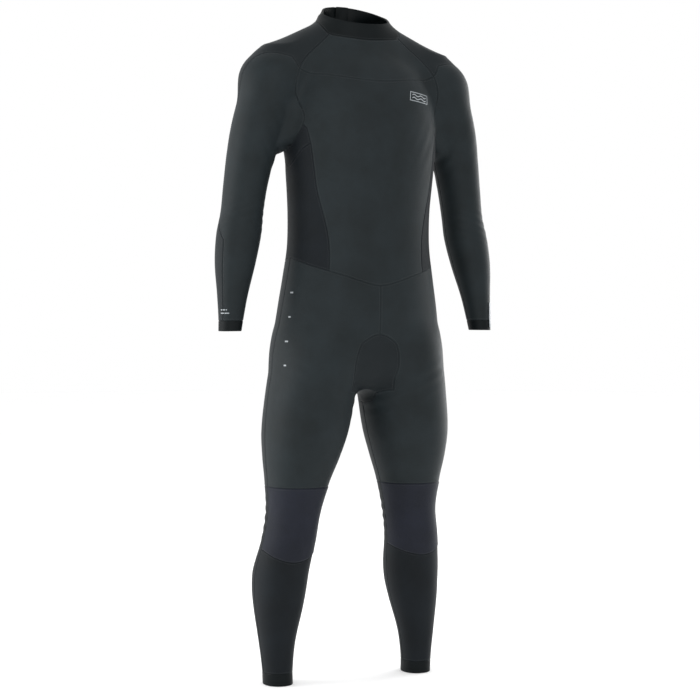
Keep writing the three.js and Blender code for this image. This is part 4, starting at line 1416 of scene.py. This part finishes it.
@dataclass
class Marks:
    """Plain printed marks and the silvery loop at the left wrist."""

    wearer: Wearer
    hip_bend: Bend
    lift: float = 0.25
    film: float = 0.3

    def patch(self, bm: bmesh.types.BMesh, spot: Callable[[float, float], tuple],
              outline: Callable[[float], tuple[float, float]], u0: float, u1: float,
              across: int = 8, along: int = 3) -> None:
        """Add one thin printed shape that follows the suit.

        Args:
            bm: the mesh that it joins.
            spot: gives a ray's start and direction for a place on the print.
            outline: gives the print's lower and upper edge at a place along it.
            u0: where it starts.
            u1: where it ends.
            across: how many steps it has along u.
            along: how many steps it has between its edges.
        """
        starts, ways = [], []
        for i in range(across + 1):
            u = u0 + (u1 - u0) * i / across
            low, high = outline(u)
            for j in range(along + 1):
                start, way = spot(u, low + (high - low) * j / along)
                starts.append(start)
                ways.append(way)
        p = self.wearer.reach(np.array(starts, float), np.array(ways, float), leaving=False,
                              step=2.0)
        n = self.wearer.slope(p)
        n /= np.linalg.norm(n, axis=1)[:, None]
        verts = [bm.verts.new((a + b * self.lift) * MM) for a, b in zip(p, n)]
        w = along + 1
        faces = [bm.faces.new([verts[i * w + j], verts[(i + 1) * w + j],
                               verts[(i + 1) * w + j + 1], verts[i * w + j + 1]])
                 for i in range(across) for j in range(along)]
        grown = bmesh.ops.extrude_face_region(bm, geom=faces, use_keep_orig=True)["geom"]
        raised = [g for g in grown if isinstance(g, bmesh.types.BMVert)]
        for v, b in zip(verts, n):
            twin = min(raised, key=lambda r: (r.co - v.co).length)
            raised.remove(twin)
            twin.co += Vector(b) * self.film * MM

    def chest(self) -> bpy.types.Object:
        """A slanted frame on the left breast with two waves in it."""
        bm = bmesh.new()
        a = math.radians(-6)

        def spot(u: float, v: float) -> tuple:
            """Project a place on the print from the front."""
            x, z = u + v * 0.12, v
            px = 104 + x * math.cos(a) - z * math.sin(a)
            return (px, -400, -133 + x * math.sin(a) + z * math.cos(a)), (0, 1, 0)

        def wave(u: float) -> float:
            """How far a wave rises."""
            return 1.8 * math.sin(u / 10 * math.pi)

        self.patch(bm, spot, lambda u: (8.8, 10.4), -26, 26, 12, 1)
        self.patch(bm, spot, lambda u: (-10.4, -8.8), -26, 26, 12, 1)
        self.patch(bm, spot, lambda u: (-8.6, 8.6), -26, -24.4, 1, 6)
        self.patch(bm, spot, lambda u: (-8.6, 8.6), 24.4, 26, 1, 6)
        for middle in (3.4, -3.4):
            self.patch(bm, spot, lambda u, m=middle: (m + wave(u) - 1.1, m + wave(u) + 1.1),
                       -20, 20, 22, 1)
        bmesh.ops.recalc_face_normals(bm, faces=bm.faces[:])
        return finished(bm, "chest_mark", "print")

    def hip(self) -> bpy.types.Object:
        """Four short dashes down the outside of the right thigh."""
        bm = bmesh.new()

        def spot(u: float, v: float) -> tuple:
            """Project a place on the print from the right."""
            return (-330 + u * 0.6, -120 - u, v), (0.92, 0.4, 0)

        for z, half in ((-554, 4.2), (-606, 3.2), (-658, 4.2), (-709, 3.2)):
            self.patch(bm, spot, lambda u, z=z: (z - 1.6, z + 1.6), -half, half, 3, 1)
        bmesh.ops.recalc_face_normals(bm, faces=bm.faces[:])
        return finished(bm, "hip_mark", "print")

    def wrist(self) -> bpy.types.Object:
        """Two rows of small dashes above the right cuff."""
        bm = bmesh.new()

        def spot(u: float, v: float) -> tuple:
            """Project a place on the print from the front right."""
            cx, cy = self.wearer.read(self.wearer.arm, np.array([v]))[0, 1:3]
            return (-cx - 80 + u * 0.6, cy - 70 - u * 0.7, v), (0.75, 0.66, 0)

        for z, ends in ((-591, ((-11, -6), (-4, 1), (3, 6))), (-598, ((-11, -2), (0, 11)))):
            for u0, u1 in ends:
                self.patch(bm, spot, lambda u, z=z: (z - 1.1, z + 1.1), u0, u1, 3, 1)
        bmesh.ops.recalc_face_normals(bm, faces=bm.faces[:])
        return finished(bm, "wrist_mark", "print")

    def build(self) -> None:
        """Make the marks and the wrist loop."""
        for piece, body, node in ((self.chest(), "trunk", "chest_print"),
                                  (self.wrist(), "forearm_right", "wrist_print")):
            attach(piece, body)
            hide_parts(node)
        self.hip_bend.apply(self.hip(), Side.RIGHT, "hip_print")
        eased_copy("wrist_tab", "wrist_loop", 0.4, "wrist_tab")


@dataclass
class Studio:
    """White floor and soft lights, and the camera a little to the wearer's right."""

    azimuth: float = -24.25
    eye: float = -0.597
    aim: float = -0.679
    distance: float = 3.74
    sideways: float = -0.01
    lens: float = 87.4
    floor_z: float = -1.4085

    def lamp(self, name: str, place: tuple[float, float, float], size: float, power: float,
             aim: tuple[float, float, float] = (0, 0, -0.7)) -> None:
        """Add one square soft light.

        Args:
            name: the light's name.
            place: where it stands.
            size: its width and height.
            power: its power in watts.
            aim: where it points.
        """
        data = bpy.data.lights.new(name, "AREA")
        data.shape, data.size, data.energy = "SQUARE", size, power
        light = bpy.data.objects.new(name, data)
        light.location = place
        light.rotation_euler = (Vector(aim) - Vector(place)).to_track_quat("-Z", "Y").to_euler()
        bpy.context.scene.collection.objects.link(light)

    def build(self) -> None:
        """Set the stage."""
        scene = bpy.context.scene
        scene.view_settings.view_transform = "Standard"
        bm = bmesh.new()
        bmesh.ops.create_circle(bm, cap_ends=True, segments=64, radius=14.0)
        bmesh.ops.translate(bm, vec=(0, 0, self.floor_z), verts=bm.verts[:])
        mesh = bpy.data.meshes.new("floor")
        bm.to_mesh(mesh)
        bm.free()
        floor = bpy.data.objects.new("floor", mesh)
        scene.collection.objects.link(floor)
        mesh.materials.append(StudioPaper().build())
        world = bpy.data.worlds.new("studio")
        world.use_nodes = True
        sky = world.node_tree.nodes["Background"]
        sky.inputs["Color"].default_value = (1, 1, 1, 1)
        sky.inputs["Strength"].default_value = 1.0
        scene.world = world
        self.lamp("key", (-1.2, -4.2, 1.2), 2.4, 60)
        self.lamp("rim_right", (-3.2, 0.9, -0.3), 2.6, 90)
        self.lamp("rim_left", (3.2, 1.2, -0.3), 2.6, 90)
        a = math.radians(self.azimuth)
        back = Vector((math.sin(a), -math.cos(a), 0))
        aside = Vector((math.cos(a), math.sin(a), 0)) * self.sideways
        place = back * self.distance + aside + Vector((0, 0, self.eye))
        data = bpy.data.cameras.new("camera")
        data.lens, data.sensor_width, data.clip_end = self.lens, 36.0, 100.0
        camera = bpy.data.objects.new("camera", data)
        camera.location = place
        look = aside + Vector((0, 0, self.aim)) - place
        camera.rotation_euler = look.to_track_quat("-Z", "Y").to_euler()
        scene.collection.objects.link(camera)
        scene.camera = camera


def main() -> None:
    """Build the suit, piece by piece, then the studio."""
    logging.basicConfig(level=logging.INFO, format="%(name)s: %(message)s")
    wearer = Wearer()
    cut = Cut(wearer)
    sheet = Sheet(cut)
    sheet.lay()
    maker = PanelMaker(sheet)
    Trunk(maker).build()
    for side in Side:
        Sleeve(maker, side).build()
        Leg(maker, side).build()
    BackZip(cut).build()
    CollarClosure().build()
    Marks(wearer, HIP_BEND).build()
    Studio().build()


if __name__ == "__main__":
    main()
